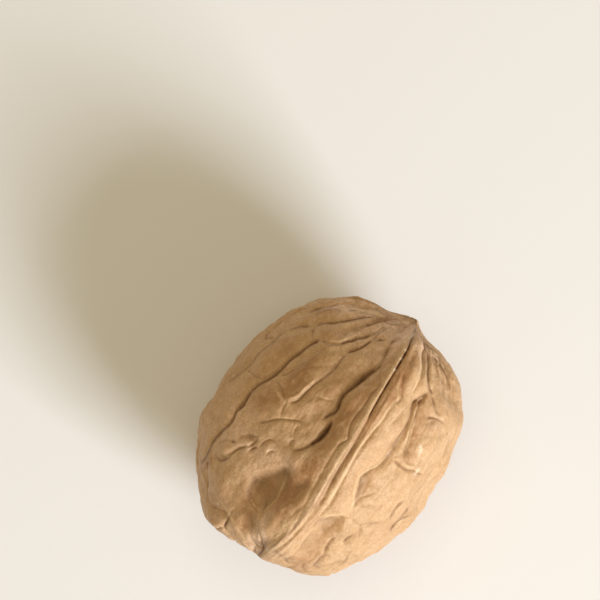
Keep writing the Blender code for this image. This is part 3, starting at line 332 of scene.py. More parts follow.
UPPER_CREASES = [
    (0.35, [(11, -1.4), (7, -1.55), (4.5, -1.75), (0.8, -2.05), (-4, -2.25), (-9, -2.7)]),
    (0.3, [(12.5, 0.5), (11.2, 0.3), (10, -0.25), (9.3, -0.7), (8.3, -0.45), (5.5, -0.4), (3.2, -0.3),
           (1.8, -0.55), (0.8, -1.1), (-0.3, -0.6), (-1.5, -0.5)]),
    (0.18, [(-0.3, -0.6), (-1.5, -0.5), (-5, -0.7), (-9, -1.1), (-12, -1.5), (-16, -1.4), (-17.5, -1),
            (-19, -0.6), (-21, -0.4)]),
    (0.28, [(12.8, -1.9), (12, -2.5), (11, -3), (9.4, -3.95), (8.5, -3.6), (7.8, -3.45), (5.8, -3.5),
            (3.2, -3.2), (0, -3.1), (-3, -3.4), (-5, -3.55), (-8, -3.8), (-10.2, -3.6), (-12, -3.2),
            (-13.5, -3.3), (-15, -2.85), (-16.5, -2.6), (-18.5, -2.1), (-20.8, -1.2)]),
    (0.35, [(10.5, 10.3), (10.75, 9.7), (10.7, 9), (11.1, 8.3), (11.4, 7.8), (11.75, 7.4), (12.7, 6.8)]),
    (0.5, [(11.4, 7.8), (11.75, 7.4), (12.7, 6.8), (13.3, 6.25), (14, 5.9), (14.5, 5.3), (15.2, 4.7),
           (15.8, 4.25)]),
    (0.35, [(15.2, 4.7), (15.8, 4.25), (16.5, 3.9), (17.3, 3.7), (18.2, 3.3)]),
    (0.25, [(1.9, 13.5), (1.3, 14.2), (1, 14.9), (1, 15.5), (1.1, 16.2), (0.8, 16.7)]),
    (0.35, [(-2.4, 18.15), (-1.5, 17.85), (-0.5, 17.5), (1.3, 16.9), (2.5, 16.65), (3.8, 16.7), (5, 16.4),
            (6, 16), (7, 15.7), (8, 15.6), (9.3, 15)]),
    (0.25, [(10.2, 10.9), (10.5, 11.5), (11, 11.8), (11.9, 12)]),
    (0.15, [(10.5, 10.1), (12, 10.1), (13.4, 10.1)]),
    (0.25, [(3.3, 12.5), (3.5, 11.7), (4.6, 11.1), (6.5, 10.2), (8.5, 9.5), (10.7, 8.9)]),
    (0.22, [(1.9, 12.4), (2, 11.5), (1.7, 11), (1, 10), (0.5, 9.05)]),
    (0.35, [(0.5, 8.9), (1, 8.2), (3, 7.6), (5, 7.1), (6.5, 6.5), (8, 6.1), (10.5, 5.95), (11.3, 5.8)]),
    (0.6, [(11, 5.9), (11.25, 5.85), (12.3, 5.1), (13.2, 4.5), (14.3, 4.1), (15.2, 3.7)]),
    (0.35, [(14.3, 4.1), (15.2, 3.75), (16.2, 3.65), (17, 3.4), (17.8, 2.9), (18.5, 2.5)]),
    (0.5, [(10.55, 5.7), (10.55, 6.1), (10.6, 6.7)]),
    (0.2, [(10.6, 6.6), (10.9, 7), (11.4, 7.3)]),
    (0.5, [(15.1, 3.8), (15.3, 3.3), (15.7, 2.8), (16, 2.1)]),
    (0.25, [(15.6, 1.7), (16.5, 1.1), (17.4, 0.55)]),
    (0.4, [(13.3, 13.9), (14, 13.3), (15, 12.4), (16, 11.5), (17, 10.6), (17.9, 9.7), (18.7, 8.6)]),
    (0.3, [(12.8, 12.9), (14, 12.6), (15, 11.9), (15.7, 11.1), (16.4, 10.2)]),
    (0.55, [(16.6, 9.5), (16.8, 9), (17.25, 8.4), (17.5, 7.8)]),
    (0.3, [(17.25, 8.4), (17.6, 7.2), (18, 6.2), (18.4, 5), (18.7, 3.8), (19, 2.8), (19.8, 1.6)]),
    (0.65, [(17.5, 9.5), (17.9, 8.8), (18.4, 7.8), (18.75, 7), (19, 6), (19.15, 4.9)]),
    (0.35, [(19, 6), (19.15, 4.9), (19.1, 4), (19.4, 2.9), (20.1, 1.7)]),
    (0.4, [(18.5, 9.3), (19.1, 8.4), (19.4, 7.2), (19.6, 5.8), (19.45, 4.5), (19.5, 3.6), (20.1, 2.4)]),
    (0.45, [(15.5, 10.8), (15.75, 10.5), (16.2, 10.1)]),
    (0.3, [(-4.4, 11), (-4, 10.4), (-3.5, 9.9), (-3, 9.4), (-2.2, 8.6), (-1.6, 7.6), (-1.2, 6.9),
           (-0.75, 5.8), (-0.85, 5.2)]),
    (0.2, [(-2, 8.5), (-1, 8.9), (0, 9.1), (0.5, 9)]),
    (0.2, [(3.4, 6.1), (3.8, 4.8), (4.1, 4.2), (4.5, 3.1)]),
    (0.2, [(-3.3, 5.5), (-2.2, 5.9), (-1.2, 6)]),
    (0.35, [(-7.6, 7.4), (-7, 7.2), (-6.2, 6.3)]),
    (0.5, [(-8.3, 10.5), (-7.8, 10.1), (-7, 9.8), (-6.5, 9.8), (-6.2, 10.3)]),
    (0.25, [(-8.1, 12.1), (-7.2, 11.7), (-6.5, 11.1), (-6.2, 10.3)]),
    (0.45, [(-8.9, 9.9), (-8.3, 9.7), (-7.7, 9.4), (-7.4, 8.8)]),
    (0.3, [(-7.4, 8.9), (-6.2, 8.6), (-5.4, 8.1), (-5.3, 7.3)]),
    (0.4, [(-11.7, 13.8), (-12.1, 13.2), (-12.1, 12.4), (-11.6, 11.9), (-10.4, 11.7), (-9.1, 11.1),
           (-8.3, 10.5), (-7.8, 10.1)]),
    (0.25, [(-11.2, 14), (-10.2, 14.1), (-9.3, 13.6), (-9, 13.1), (-9, 12.6)]),
    (0.5, [(-9, 13), (-8.8, 12.6), (-8.5, 11.7)]),
    (0.2, [(-17.8, 11.6), (-17.3, 11.5), (-17.1, 10.9), (-17, 10.3)]),
    (0.3, [(-15.3, 3.6), (-15.1, 4.5), (-14.6, 5.9), (-13.3, 6.8), (-11.8, 7), (-11.3, 8.2)]),
    (0.2, [(-20.2, 7.4), (-19.3, 7)]),
    (0.45, [(13, -8), (13.2, -7.75), (14, -6.8), (14.8, -6.1), (15.7, -5.5), (16.7, -4.9), (17.3, -4.4),
            (18, -3.75), (18.3, -3.2), (19.2, -2)]),
    (0.28, [(10.5, -4.95), (11.7, -4.95), (13.2, -4.8), (14.5, -4.4), (16, -3.75), (16.8, -3.1),
            (17.3, -2.4), (17.9, -1.7)]),
    (0.5, [(19.2, -2.5), (18.8, -3.3), (18.75, -4), (19, -4.8), (19, -5.7), (18.7, -6.8), (18.3, -7.9),
           (17.6, -8.9), (16.7, -9.9)]),
    (0.35, [(18.6, -3.1), (18.4, -4.2), (18.3, -5.6), (18, -6.9), (17.4, -8.1), (16.7, -9.1)]),
    (0.3, [(18.2, -3.4), (17.9, -4), (17.2, -5.7), (16.3, -6.8), (15.7, -8.3), (15, -9.4)]),
    (0.2, [(16.6, -6.3), (16.1, -7.4), (15.2, -8.6)]),
    (0.2, [(5.2, -4.3), (6, -4.8), (7, -5), (9, -5.1)]),
    (0.2, [(3, -6.7), (3.7, -6), (5, -5.8)]),
    (0.2, [(2.3, -8.1), (3, -8.7)]),
    (0.25, [(-7, -7.6), (-5.8, -7.3), (-5.2, -7.5), (-4.5, -7.9), (-3.5, -8.5), (-2.7, -8.6)]),
    (0.3, [(-6.4, -7.6), (-5.8, -8.5), (-5.3, -9.4), (-5.1, -10.4)]),
    (0.4, [(-18, -7.6), (-16.5, -7.55), (-15.5, -7.75), (-15, -8.1), (-14.9, -9)]),
    (0.3, [(-17.2, -7.5), (-17.4, -9)]),
    (0.4, [(-15.2, -7.8), (-14, -7.6), (-12.8, -7.55), (-11.8, -7.7)]),
    (0.35, [(-12.3, -9.4), (-11.5, -9.2), (-10.9, -9.3), (-10.3, -9.6), (-9.7, -10.1), (-8.4, -9.9),
            (-8, -10.3), (-7, -11.4), (-6.7, -12)]),
    (0.25, [(-8.3, -10.2), (-8.5, -9), (-8.2, -7.8)]),
    (0.4, [(-15.5, -10.3), (-14.6, -10.9), (-13.4, -10.9), (-12.8, -10.8)]),
    (0.55, [(-7.4, -14.1), (-5.6, -13.95), (-4.7, -14.25), (-4, -14.7), (-3.1, -15.4)]),
    (0.4, [(-5.4, -14), (-4, -14.2), (-2, -14.35)]),
    (0.45, [(-5.6, -12.9), (-4.2, -12.8), (-3, -12.9), (-1.8, -13.25)]),
    (0.5, [(2.2, -8.2), (2, -9), (1.85, -10), (1.95, -10.9), (2.4, -11.7), (2.4, -12.4), (2.7, -13.4)]),
    (0.35, [(2.2, -11.75), (3, -11.8), (5, -11.75)]),
    (0.3, [(5, -9.2), (3.7, -9.5), (3, -10), (2.95, -10.7), (3.5, -11.4)]),
    (0.4, [(9.9, -9), (10.4, -9.8), (10.6, -10.6), (10.5, -11.6)]),
    (0.25, [(8.8, -9.9), (9.6, -9.9), (10.5, -10.2)]),
    (0.4, [(13.2, -7.6), (12.4, -8.6), (11.4, -9.7), (10.8, -10.6)]),
    (0.25, [(-5.4, -9.9), (-5, -10.6), (-4.3, -10.7), (-3.6, -10.6)]),
    (0.25, [(-12.8, -8.2), (-11.6, -8.3), (-10.6, -8.6)]),
    (0.2, [(7.4, -12.5), (8.6, -12.3), (9.8, -11.7)]),
    (0.25, [(13.4, -10.6), (14.2, -10.2), (15.2, -9.9)]),
    (0.2, [(-1.8, -10), (-1.2, -10.4), (-0.9, -11.2)]),
    (0.2, [(-9.8, -11.6), (-8.6, -11.9), (-7.2, -12)]),
    (0.2, [(9, -9.2), (9.3, -9.8)]),
    (0.2, [(-19, -4.4), (-18.6, -5.1)]),
    (0.2, [(-21, -0.35), (-19.6, -0.4)]),
    (0.25, [(-18.5, 0.35), (-17.6, 0.3), (-17, 0), (-16.5, -0.3)]),
    (0.22, [(-20.6, -0.5), (-18.8, -0.8), (-17, -1.3), (-15, -1.9), (-13, -2.2), (-10, -2.3)]),
    (0.22, [(-20.4, -0.8), (-18.6, -1.4), (-17, -2.2), (-15.4, -2.6), (-13.6, -3)]),
    (0.22, [(-17.6, 0.1), (-16.4, -0.5), (-15, -0.9), (-13.4, -1)]),
    (0.2, [(-12.4, -0.5), (-11, -0.75), (-9.6, -1.1), (-8, -0.9), (-6, -0.8), (-4.4, -0.3)]),
    (0.2, [(-12.8, 1.9), (-11.6, 1.5), (-10.4, 0.9), (-9.2, 0.1)]),
    (0.2, [(-14.6, -3.6), (-13, -3.9), (-11.4, -4)]),
    (0.22, [(-11.9, 6.8), (-11.5, 7.4), (-11.2, 8.4)]),
]
UPPER_CRACKS = [
    (0.35, [(21, -0.35), (18, -0.75), (14, -1.2), (10, -1.4), (7, -1.55), (4.5, -1.75)]),
    (0.6, [(21, -0.35), (18, -0.75), (14, -1.2), (10, -1.4), (8.6, -1.45)]),
    (0.85, [(19, -0.6), (18.1, -0.75), (16.5, -0.88), (15, -1.12), (13.2, -1.22), (11.5, -1.35)]),
    (0.85, [(-22, 0.2), (-21, 0.1), (-20, 0), (-19.3, 0), (-18.8, 0.2), (-18.3, 0.8)]),
]
UPPER_VEINS = [
    (0.15, [(19.5, -0.3), (16, -0.65), (12, -0.85), (8, -1.05), (3, -1.35), (-3, -1.5), (-9, -1.9),
            (-12, -2), (-16, -1.1), (-20, -0.2)]),
    (0.15, [(19.5, -0.9), (15, -1.7), (11, -2.3), (7, -2.5), (2, -2.65), (-4, -2.95), (-9, -3.1),
            (-13, -2.7), (-17, -1.9), (-20.5, -0.9)]),
    (0.35, [(-18.8, 0.7), (-17.5, 1.8), (-16.2, 2.7), (-15, 3.1)]),
    (0.3, [(-15.8, 3), (-15.3, 3), (-14.3, 2.85), (-13.5, 2.65), (-12.1, 2.4), (-11.5, 2.55),
           (-10.3, 2.85), (-8.5, 3)]),
    (0.3, [(-20.4, 1.3), (-19.6, 3.4), (-18.6, 5.7), (-17.5, 7.8), (-17.2, 9.2), (-17.1, 10.2)]),
    (0.2, [(-6, 17.3), (-4.5, 18), (-3, 18.2)]),
    (0.2, [(1.5, 10.6), (2.3, 11.2), (3.3, 11.3), (4.2, 11)]),
    (0.2, [(11.9, 8), (12.1, 7.6), (12.8, 7.2), (13.8, 7), (14.6, 7.3)]),
    (0.25, [(0.6, 9.5), (1.6, 8.5), (3.4, 7.95), (5.4, 7.4)]),
    (0.2, [(-5.6, 11.5), (-5.8, 10.6), (-5.9, 9.9)]),
    (0.2, [(4.6, 4.9), (4.8, 4.2)]),
    (0.25, [(-10.3, -5.1), (-9.4, -6.3), (-8.8, -7.2), (-8.5, -8.2)]),
    (0.15, [(-11.3, -5), (-11.3, -6.5)]),
    (0.2, [(9.5, -7), (11, -6.65), (12.3, -6.95)]),
]
LOWER_FURROWS = [
    (0.7, [(17, 4.6), (13, 6.4), (8, 6.9), (3, 6.2), (-2, 6.9), (-6, 8.4)]),
    (0.7, [(17.4, -3), (13, -4.3), (8, -3.4), (3, -4.2), (-2, -4.4), (-7, -3.2)]),
    (0.6, [(14.6, -9.6), (10, -12.2), (5, -13.4), (-1, -13.9), (-7, -13.2), (-12, -11.2)]),
    (0.5, [(15.6, 10.4), (11, 13.2), (5, 15.3), (-2, 15.9), (-8, 14.8)]),
]

# How a line of each kind is cut, as (share of the depth, half width, power): power 2 is a round cut
# and power 1 a sharp one between rounded banks.
FURROW_SHAPE = ((0.5, 0.25, 2), (0.5, 0.6, 1))
CREASE_SHAPE = ((0.55, 0.17, 2), (0.45, 0.4, 1))
CRACK_SHAPE = ((0.92, 0.11, 2), (0.08, 0.5, 2))
VEIN_SHAPE = ((0.8, 0.18, 2), (0.2, 0.6, 2))
# A line deepens between LINE_START and LINE_END from its ends, and counts out to LINE_REACH half
# widths.
LINE_START = -0.2
LINE_END = 1.1
LINE_REACH = 4
LINE_FLOOR = 0.45
# How far the shell faces up runs from 0 at its side to 1 at its top. Where it faces away, a line is
# up to 1 / STEEPEST times as wide, and keeps SIDE_DEPTH_SHARE of its depth.
STEEPEST = 0.55
LINE_FACES_UP = (0.2, 0.6)
SIDE_DEPTH_SHARE = 0.15

# Painted lines fade out at the side of the shell, and the dark ones, painted shade in the furrows,
# creases and cracks, are fainter toward its top.
PAINTED_LINE_WIDTH = 0.14
PAINTED_LINE_REACH = 1
PAINTED_LINE_FULL_DEPTH = 0.6
PAINTED_LINE_FACES_UP = (0.08, 0.22)
LINE_SHADE_FACES_UP = (0.4, 0.9)
LINE_SHADE_LOSS = 0.7
SPECK_END = 0.1

# Rounds of smoothing that tell a crease from its cell, and a cell from the shell.
CREASE_ROUNDS = 12
CELL_ROUNDS = 260
# The creases' shade falls to this share where they crowd at the tip.
SHADE_AT_TIP = 0.35
TIP_SHADE_RANGE = (16, 19.5)
# The heights between which the patches of colour come in.
PATCH_RISE = (0, 2)

# The net of long cells that covers what the lists above leave plain. Over CELL_TIP they get thin.
CELL_SPACING = 3.7
CELL_STRETCH = 0.42
CELL_RING = 15.0
CELL_TIP = (0, 15)
CELL_TRIES = 4000
# How the cells are bent, as (wavelength, size, seed).
CELL_WARPS = ((6, 0.5, 7), (2.6, 0.15, 16))
NET_DEPTH = 0.7
NET_SHAPE = ((0.4, 0.3, 2), (0.6, 0.9, 1))
NET_SEED = 7
NET_WEAKEST = 0.25
NET_ACROSS_LOSS = 0.6
# Odd factors that turn the numbers of two cells into a chance from 0 to 1.
CHANCE_FACTORS = (12.9898, 78.233, 43758.5453)
# The height above which the lists take the net's place, and below which it is whole.
NET_TOP_EDGE = (11.0, 4.5)
NET_LOSS_ON_TOP = 0.88

TIP_WRINKLE_DEPTH = 0.28
WRINKLE_SPACING = 1.7
WRINKLE_RING = 7
WRINKLE_STRETCH = 0.07
WRINKLE_RANGE = (9, 17)
WRINKLE_SEED = 47

LUMP_HEIGHT = 0.2
LUMP_SPACING = 8
LUMP_LOSS_ON_TOP = 0.5
LUMP_SEED = 37
# Shallow dents all over: (wavelength, height).
DENTS = [(3.2, 0.045), (1.6, 0.02)]
DENT_SEED = 67
# How far the waves of a ripple vary in pitch, as factors.
RIPPLE_SPREAD = (0.7, 1.4)

# The heights between which keels and hollows come in, above and below the widest outline.
SIDE_FADE = (0.5, 5)
# The search for the height of a plan point starts here.
HIGHEST = 25.0
HALVINGS = 24

# Squares along each edge of the cube that is rounded into the shell, before it is thinned.
GRID = 180
TRIANGLES = 196000

# The bare wood, and the noises that mottle it, as (waves per metre, detail, stretch).
WOOD = (0.62, 0.40, 0.222)
EVEN = (1, 1, 1)
NOISES = {
    "patches": (420, 4, EVEN),
    "mottle": (900, 3, EVEN),
    "streaks": (700, 4, (0.35, 1, 1)),
    "flecks": (1000, 4, EVEN),
    "speckles": (3000, 2, EVEN),
}
# The layers over the wood from the lowest up, as (colour, strength, shares). A share is (a noise or a
# value that the vertices carry, where in it the layer starts, where in it the layer is full).
LAYERS = [
    ((0.43, 0.215, 0.08), 0.6, [("patches", 0.42, 0.68), ("hollow", 0.02, -0.22)]),
    # Brown patches, partly real colour and partly painted shade in hollows and on slopes turned from the
    # light.
    ((0.40, 0.205, 0.09), 1, [("stain_and_shade", 0, 1), ("patches", 0.15, 0.5)]),
    # Pale patches, partly real colour and partly painted light and highlights on lit slopes, ridges and
    # the tip.
    ((0.86, 0.60, 0.43), 1, [("pale", 0, 1), ("mottle", 0.2, 0.55)]),
    ((0.40, 0.22, 0.10), 0.45, [("streaks", 0.48, 0.72)]),
    ((0.74, 0.53, 0.34), 0.4, [("flecks", 0.52, 0.72)]),
    # Painted shade: browner the deeper a vertex lies in a hollow of the cells.
    ((0.42, 0.27, 0.15), 1, [("hollow", 0.1, 0.6)]),
    ((0.72, 0.50, 0.31), 0.35, [("crease", -0.03, -0.12)]),
    # Painted shade: near black deep in the creases.
    ((0.11, 0.045, 0.015), 1, [("crease", 0.04, 0.26)]),
    # Painted shade along the furrows, creases and cracks.
    ((0.17, 0.08, 0.035), 0.9, [("painted_lines", 0, 1)]),
    # Painted highlights along the pale ridges.
    ((0.82, 0.60, 0.36), 0.7, [("painted_highlight", 0, 1)]),
    ((0.76, 0.62, 0.45), 1, [("speck", 0, 1)]),
    ((0.30, 0.17, 0.08), 0.3, [("speckles", 0.38, 0.62)]),
]
GRAIN = (1500, 6, (0.5, 1, 1))
GRAIN_DEPTH = 0.0002
SHELL_ROUGHNESS = 0.55
SHELL_GLOSS = 0.35

FLOOR_SIZE = 6
FLOOR_COLOUR = (0.84, 0.87, 0.94, 1)
FLOOR_ROUGHNESS = 0.9

# The soft lights, as (name, place, size, power, colour), and the light from all round.
LIGHTS = [
    ("key", (-0.2, -0.87, 0.48), 0.4, 11.6, (1, 1, 1)),
    ("overhead", (0.1, 0.2, 1.2), 0.8, 2.8, (1, 0.84, 0.57)),
]
SKY_COLOUR = (1, 0.82, 0.50, 1)
SKY_STRENGTH = 0.385


def smooth_step(value, start, end):
    """0 before start and 1 after end, with a soft rise between them. It also runs downwards."""
    t = np.clip((value - start) / (end - start), 0, 1)
    return t * t * (3 - 2 * t)


def smooth_curve(at, keys, values):
    """A smooth curve through the key points, read at the given places."""
    keys, values = np.asarray(keys, float), np.asarray(values, float)
    slopes = np.gradient(values, keys)
    i = np.clip(np.searchsorted(keys, at) - 1, 0, len(keys) - 2)
    span = keys[i + 1] - keys[i]
    t = np.clip((at - keys[i]) / span, 0, 1)
    rise = values[i] * (1 + 2 * t) * (1 - t) ** 2 + values[i + 1] * t * t * (3 - 2 * t)
    return rise + span * t * (1 - t) * (slopes[i] * (1 - t) - slopes[i + 1] * t)


def along_nut(x, route):
    """The y of a lengthwise line at each x."""
    points = np.array(sorted(route), float)
    return smooth_curve(x, points[:, 0], points[:, 1])


def ripple(points, wavelength, seed, waves=28):
    """Smooth seeded noise of about unit size: a sum of plane waves near one wavelength."""
    rng = np.random.default_rng(seed)
    heading = rng.normal(size=(3, waves))
    heading /= np.linalg.norm(heading, axis=0)
    pitch = 2 * math.pi / wavelength * rng.uniform(*RIPPLE_SPREAD, waves)
    phase = rng.uniform(0, 2 * math.pi, waves)
    return np.cos(points @ (heading * pitch) + phase).sum(1) * math.sqrt(2 / waves)


def outline_radius(angle, outline):
    """Distance from the centre to an outline, at an angle from the tip. The ends are rounded."""
    points = np.array(outline, float)
    keys = np.arctan2(points[:, 1], points[:, 0])
    reach = np.hypot(points[:, 0], points[:, 1])
    keys = np.concatenate([[-keys[1]], keys, [2 * math.pi - keys[-2]]])
    reach = np.concatenate([[reach[1]], reach, [reach[-2]]])
    return smooth_curve(angle, keys, reach)


def body_radius(directions):
    """Distance from the centre to the smooth body, without its relief."""
    x, y, z = directions.T
    angle = np.arccos(np.clip(x, -1, 1))
    across = np.maximum(np.hypot(y, z), 1e-9)
    side, up = y / across, z / across
    cheek = np.where(y > 0, outline_radius(angle, FULL_CHEEK), outline_radius(angle, FLAT_CHEEK))
    radius = 1 / np.hypot(side / cheek, up / outline_radius(angle, SUTURE_PLANE))
    off_axis = radius * np.hypot(y, z / BEAK_SPREAD_IN_SUTURE_PLANE)
    beak = BEAK_HEIGHT * np.exp(-((off_axis / BEAK_RADIUS) ** BEAK_POWER))
    scar = BASE_SCAR_DEPTH * np.exp(-((radius * across / BASE_SCAR_RADIUS) ** 2))
    return radius + np.where(x > 0, beak, -scar)


def on_body(route, top):
    """Lifts plan points to the body's upper or lower side, so that a line sunk there shows on them.

    The height of the line's floor is found by halving its range, and is then moved out to the body.
    """
    plan = np.array(route, float)
    low, high = np.zeros(len(plan)), np.full(len(plan), HIGHEST)
    sign = 1 if top else -1
    for _ in range(HALVINGS):
        middle = (low + high) / 2
        points = np.column_stack([plan, sign * middle])
        reach = np.linalg.norm(points, axis=1)
        inside = reach < body_radius(points / reach[:, None]) - LINE_FLOOR
        low, high = np.where(inside, middle, low), np.where(inside, high, middle)
    floor = np.column_stack([plan, sign * low])
    return floor * (1 + LINE_FLOOR / np.linalg.norm(floor, axis=1)[:, None])


def smooth_route(route, step=0.4):
    """Points every step along a smooth curve through the route."""
    points = np.array(route, float)
    keys = np.concatenate([[0], np.cumsum(np.linalg.norm(np.diff(points, axis=0), axis=1))])
    at = np.linspace(0, keys[-1], max(3, int(keys[-1] / step) + 1))
    return np.column_stack([smooth_curve(at, keys, values) for values in points.T])


def distance_to_line(points, line):
    """Each point's distance to a line of segments, how far along it is, and the line's length."""
    starts, steps = line[:-1], np.diff(line, axis=0)
    lengths = np.linalg.norm(steps, axis=1)
    offsets = points[:, None] - starts
    share = np.clip((offsets * steps).sum(2) / lengths**2, 0, 1)
    gaps = np.linalg.norm(offsets - share[:, :, None] * steps, axis=2)
    best = gaps.argmin(1)
    rows = np.arange(len(points))
    travelled = np.concatenate([[0], np.cumsum(lengths)])
    return gaps[rows, best], travelled[best] + share[rows, best] * lengths[best], travelled[-1]


def near_line(points, line, margin):
    """Which points lie within a margin of the box round a line."""
    return np.all((points > line.min(0) - margin) & (points < line.max(0) + margin), axis=1)


def facing_up(points):
    """How far the shell faces up or down at each point, from 0 to 1."""
    return np.abs(points[:, 2]) / np.linalg.norm(points, axis=1)


def lines(points, routes, shape, top):
    """How deep lines of one kind are at each point: a narrow cut in the floor of a valley.

    Where the shell turns away from above, a line is wider than it looks in plan.
    """
    deep = [np.zeros(len(points)) for _ in shape]
    margin = LINE_REACH / STEEPEST * max(width for _, width, _ in shape)
    for depth, route in routes:
        line = smooth_route(on_body(route, top))
        near = near_line(points, line, margin)
        gap, along, length = distance_to_line(points[near], line)
        facing = facing_up(points[near])
        gap = gap * np.clip(facing, STEEPEST, 1)
        end = depth * smooth_step(np.minimum(along, length - along), LINE_START, LINE_END)
        end *= SIDE_DEPTH_SHARE + (1 - SIDE_DEPTH_SHARE) * smooth_step(facing, *LINE_FACES_UP)
        for part, (share, width, power) in zip(deep, shape):
            part[near] = np.maximum(part[near], share * end * np.exp(-((gap / width) ** power)))
    return sum(deep)


def painted_lines(points, routes, run_out=LINE_END):
    """How strong painted lines are, from 0 to 1, on the upper side of the finished surface. They carry
    painted shade along the furrows, creases and cracks, painted highlights along ridges, and pale specks.
    """
    strength = np.zeros(len(points))
    plan = points[:, :2]
    for depth, route in routes:
        line = smooth_route(route)
        near = near_line(plan, line, PAINTED_LINE_REACH) & (points[:, 2] > 0)
        gap, along, length = distance_to_line(plan[near], line)
        end = smooth_step(np.minimum(along, length - along), LINE_START, run_out)
        drawn = min(1, depth / PAINTED_LINE_FULL_DEPTH) * end * np.exp(-((gap / PAINTED_LINE_WIDTH) ** 2))
        strength[near] = np.maximum(strength[near], drawn)
    return strength


def inside_outline(x, y, outline):
    """Which points lie inside a closed outline, by the number of its sides to their right."""
    inside = np.zeros(len(x), bool)
    for (x0, y0), (x1, y1) in zip(outline, np.roll(outline, -1, axis=0)):
        beside = (y0 > y) != (y1 > y)
        inside ^= beside & (x < x0 + (y - y0) * (x1 - x0) / (y1 - y0 if y1 != y0 else 1))
    return inside


def basins(points, spots):
    """How deep the steep-walled hollows are at each point."""
    total = np.zeros(len(points))
    plan = points[:, :2]
    for depth, wall, outline in spots:
        rim = smooth_route(outline + outline[:1])
        near = near_line(plan, rim, wall)
        gap, _, _ = distance_to_line(plan[near], rim)
        gap = np.where(inside_outline(*plan[near].T, rim[:-1]), gap, -gap)
        total[near] += depth * smooth_step(gap, -wall / 2, wall)
    return total


def hollows(points, spots):
    """How deep the soft hollows are at each point, less how high the swellings are."""
    depth = np.zeros(len(points))
    for x, y, half_length, half_width, turn, deep in spots:
        c, s = math.cos(math.radians(turn)), math.sin(math.radians(turn))
        dx, dy = points[:, 0] - x, points[:, 1] - y
        spread = ((c * dx + s * dy) / half_length) ** 2 + ((c * dy - s * dx) / half_width) ** 2
        depth += deep * np.exp(-(spread**HOLLOW_POWER))
    return depth


def keel(points):
    """Height of the raised band along the upper suture."""
    x, y = points[:, 0], points[:, 1]
    crest = along_nut(x, CREST)
    full_foot, flat_foot = along_nut(x, KEEL_FULL_SIDE), along_nut(x, KEEL_FLAT_SIDE)
    to_full = np.clip((y - crest) / (full_foot - crest), 0, 1)
    to_flat = np.clip((crest - y) / (crest - flat_foot), 0, 1)
    full_fall = sum(share * to_full**power for share, power in KEEL_FULL_SLOPE)
    height = KEEL_HEIGHT * (1 - np.where(y > crest, full_fall, to_flat**KEEL_FLAT_POWER))
    fade = smooth_step(HALF_LENGTH - np.abs(x), 0, KEEL_FADE)
    return height * (KEEL_END_SHARE + (1 - KEEL_END_SHARE) * fade)


def lower_keel(points):
    """Height of the raised band along the lower suture."""
    x, y = points[:, 0], points[:, 1]
    sway, sway_length = LOWER_CREST_WAVE
    crest = LOWER_CREST_OFFSET * (1 - (x / HALF_LENGTH) ** 2) + sway * np.sin(x / sway_length)
    swell, swell_length = LOWER_KEEL_EDGE_WAVE
    half_width = LOWER_KEEL_HALF_WIDTH + swell * np.sin(x / swell_length + np.sign(y - crest))
    taper = smooth_step(LOWER_KEEL_HALF_LENGTH - np.abs(x), 0, LOWER_KEEL_TAPER)
    half_width *= LOWER_KEEL_END_WIDTH + (1 - LOWER_KEEL_END_WIDTH) * taper
    share = np.clip(np.abs(y - crest) / half_width, 0, 1)
    fade = smooth_step(HALF_LENGTH - np.abs(x), 0, KEEL_FADE)
    return LOWER_KEEL_HEIGHT * (1 - share**LOWER_KEEL_POWER) * fade


def cell_space(points):
    """Lays the shell out so that round cells there are long cells on the nut, thin at the tip."""
    x, y, z = points.T
    around = np.arctan2(y, z)
    ring = np.hypot(y, z)
    tipward = smooth_step(x, *CELL_TIP)
    ring = ring * (1 - tipward) + CELL_RING * tipward
    laid = np.column_stack([x * CELL_STRETCH, ring * np.sin(around), ring * np.cos(around)])
    for axis in range(3):
        laid[:, axis] += sum(size * ripple(points, wavelength, seed + axis)
                             for wavelength, size, seed in CELL_WARPS)
    return laid


def cell_seeds():
    """Evenly spread seeded points of the laid-out shell, at least one spacing apart."""
    rng = np.random.default_rng(NET_SEED)
    directions = rng.normal(size=(CELL_TRIES, 3))
    directions /= np.linalg.norm(directions, axis=1)[:, None]
    tries = cell_space(directions * body_radius(directions)[:, None])
    kept = tries[:1]
    for point in tries[1:]:
        if np.linalg.norm(kept - point, axis=1).min() > CELL_SPACING:
            kept = np.vstack([kept, point])
    return kept


def two_nearest(points, seeds):
    """The numbers of the two seeds nearest to each point, lowest number first."""
    gaps = (seeds**2).sum(1) - 2 * points @ seeds.T
    nearest = np.argpartition(gaps, 1, axis=1)[:, :2]
    return nearest.min(1), nearest.max(1)


def net(points):
    """Depth of the net of furrows between the cells, strongest where a furrow runs lengthwise."""
    seeds = cell_seeds()
    laid = cell_space(points)
    first, second = two_nearest(laid, seeds)
    apart = seeds[second] - seeds[first]
    apart /= np.linalg.norm(apart, axis=1)[:, None]
    middle = (seeds[first] + seeds[second]) / 2
    gap = np.abs(((laid - middle) * apart).sum(1))
    of_first, of_second, spin = CHANCE_FACTORS
    chance = np.abs(np.sin(first * of_first + second * of_second) * spin) % 1
    strength = NET_WEAKEST + (1 - NET_WEAKEST) * chance
    strength *= 1 - NET_ACROSS_LOSS * np.abs(apart[:, 0])
    return strength * sum(share * np.exp(-((gap / width) ** power))
                          for share, width, power in NET_SHAPE)


def tip_wrinkles(points):
    """Fine lengthwise wrinkles that gather at the tip."""
    x, y, z = points.T
    around = np.arctan2(y, z)
    spun = np.column_stack([WRINKLE_STRETCH * x, WRINKLE_RING * np.sin(around),
                            WRINKLE_RING * np.cos(around)])
    return np.abs(ripple(spun, WRINKLE_SPACING, WRINKLE_SEED)) * smooth_step(x, *WRINKLE_RANGE)


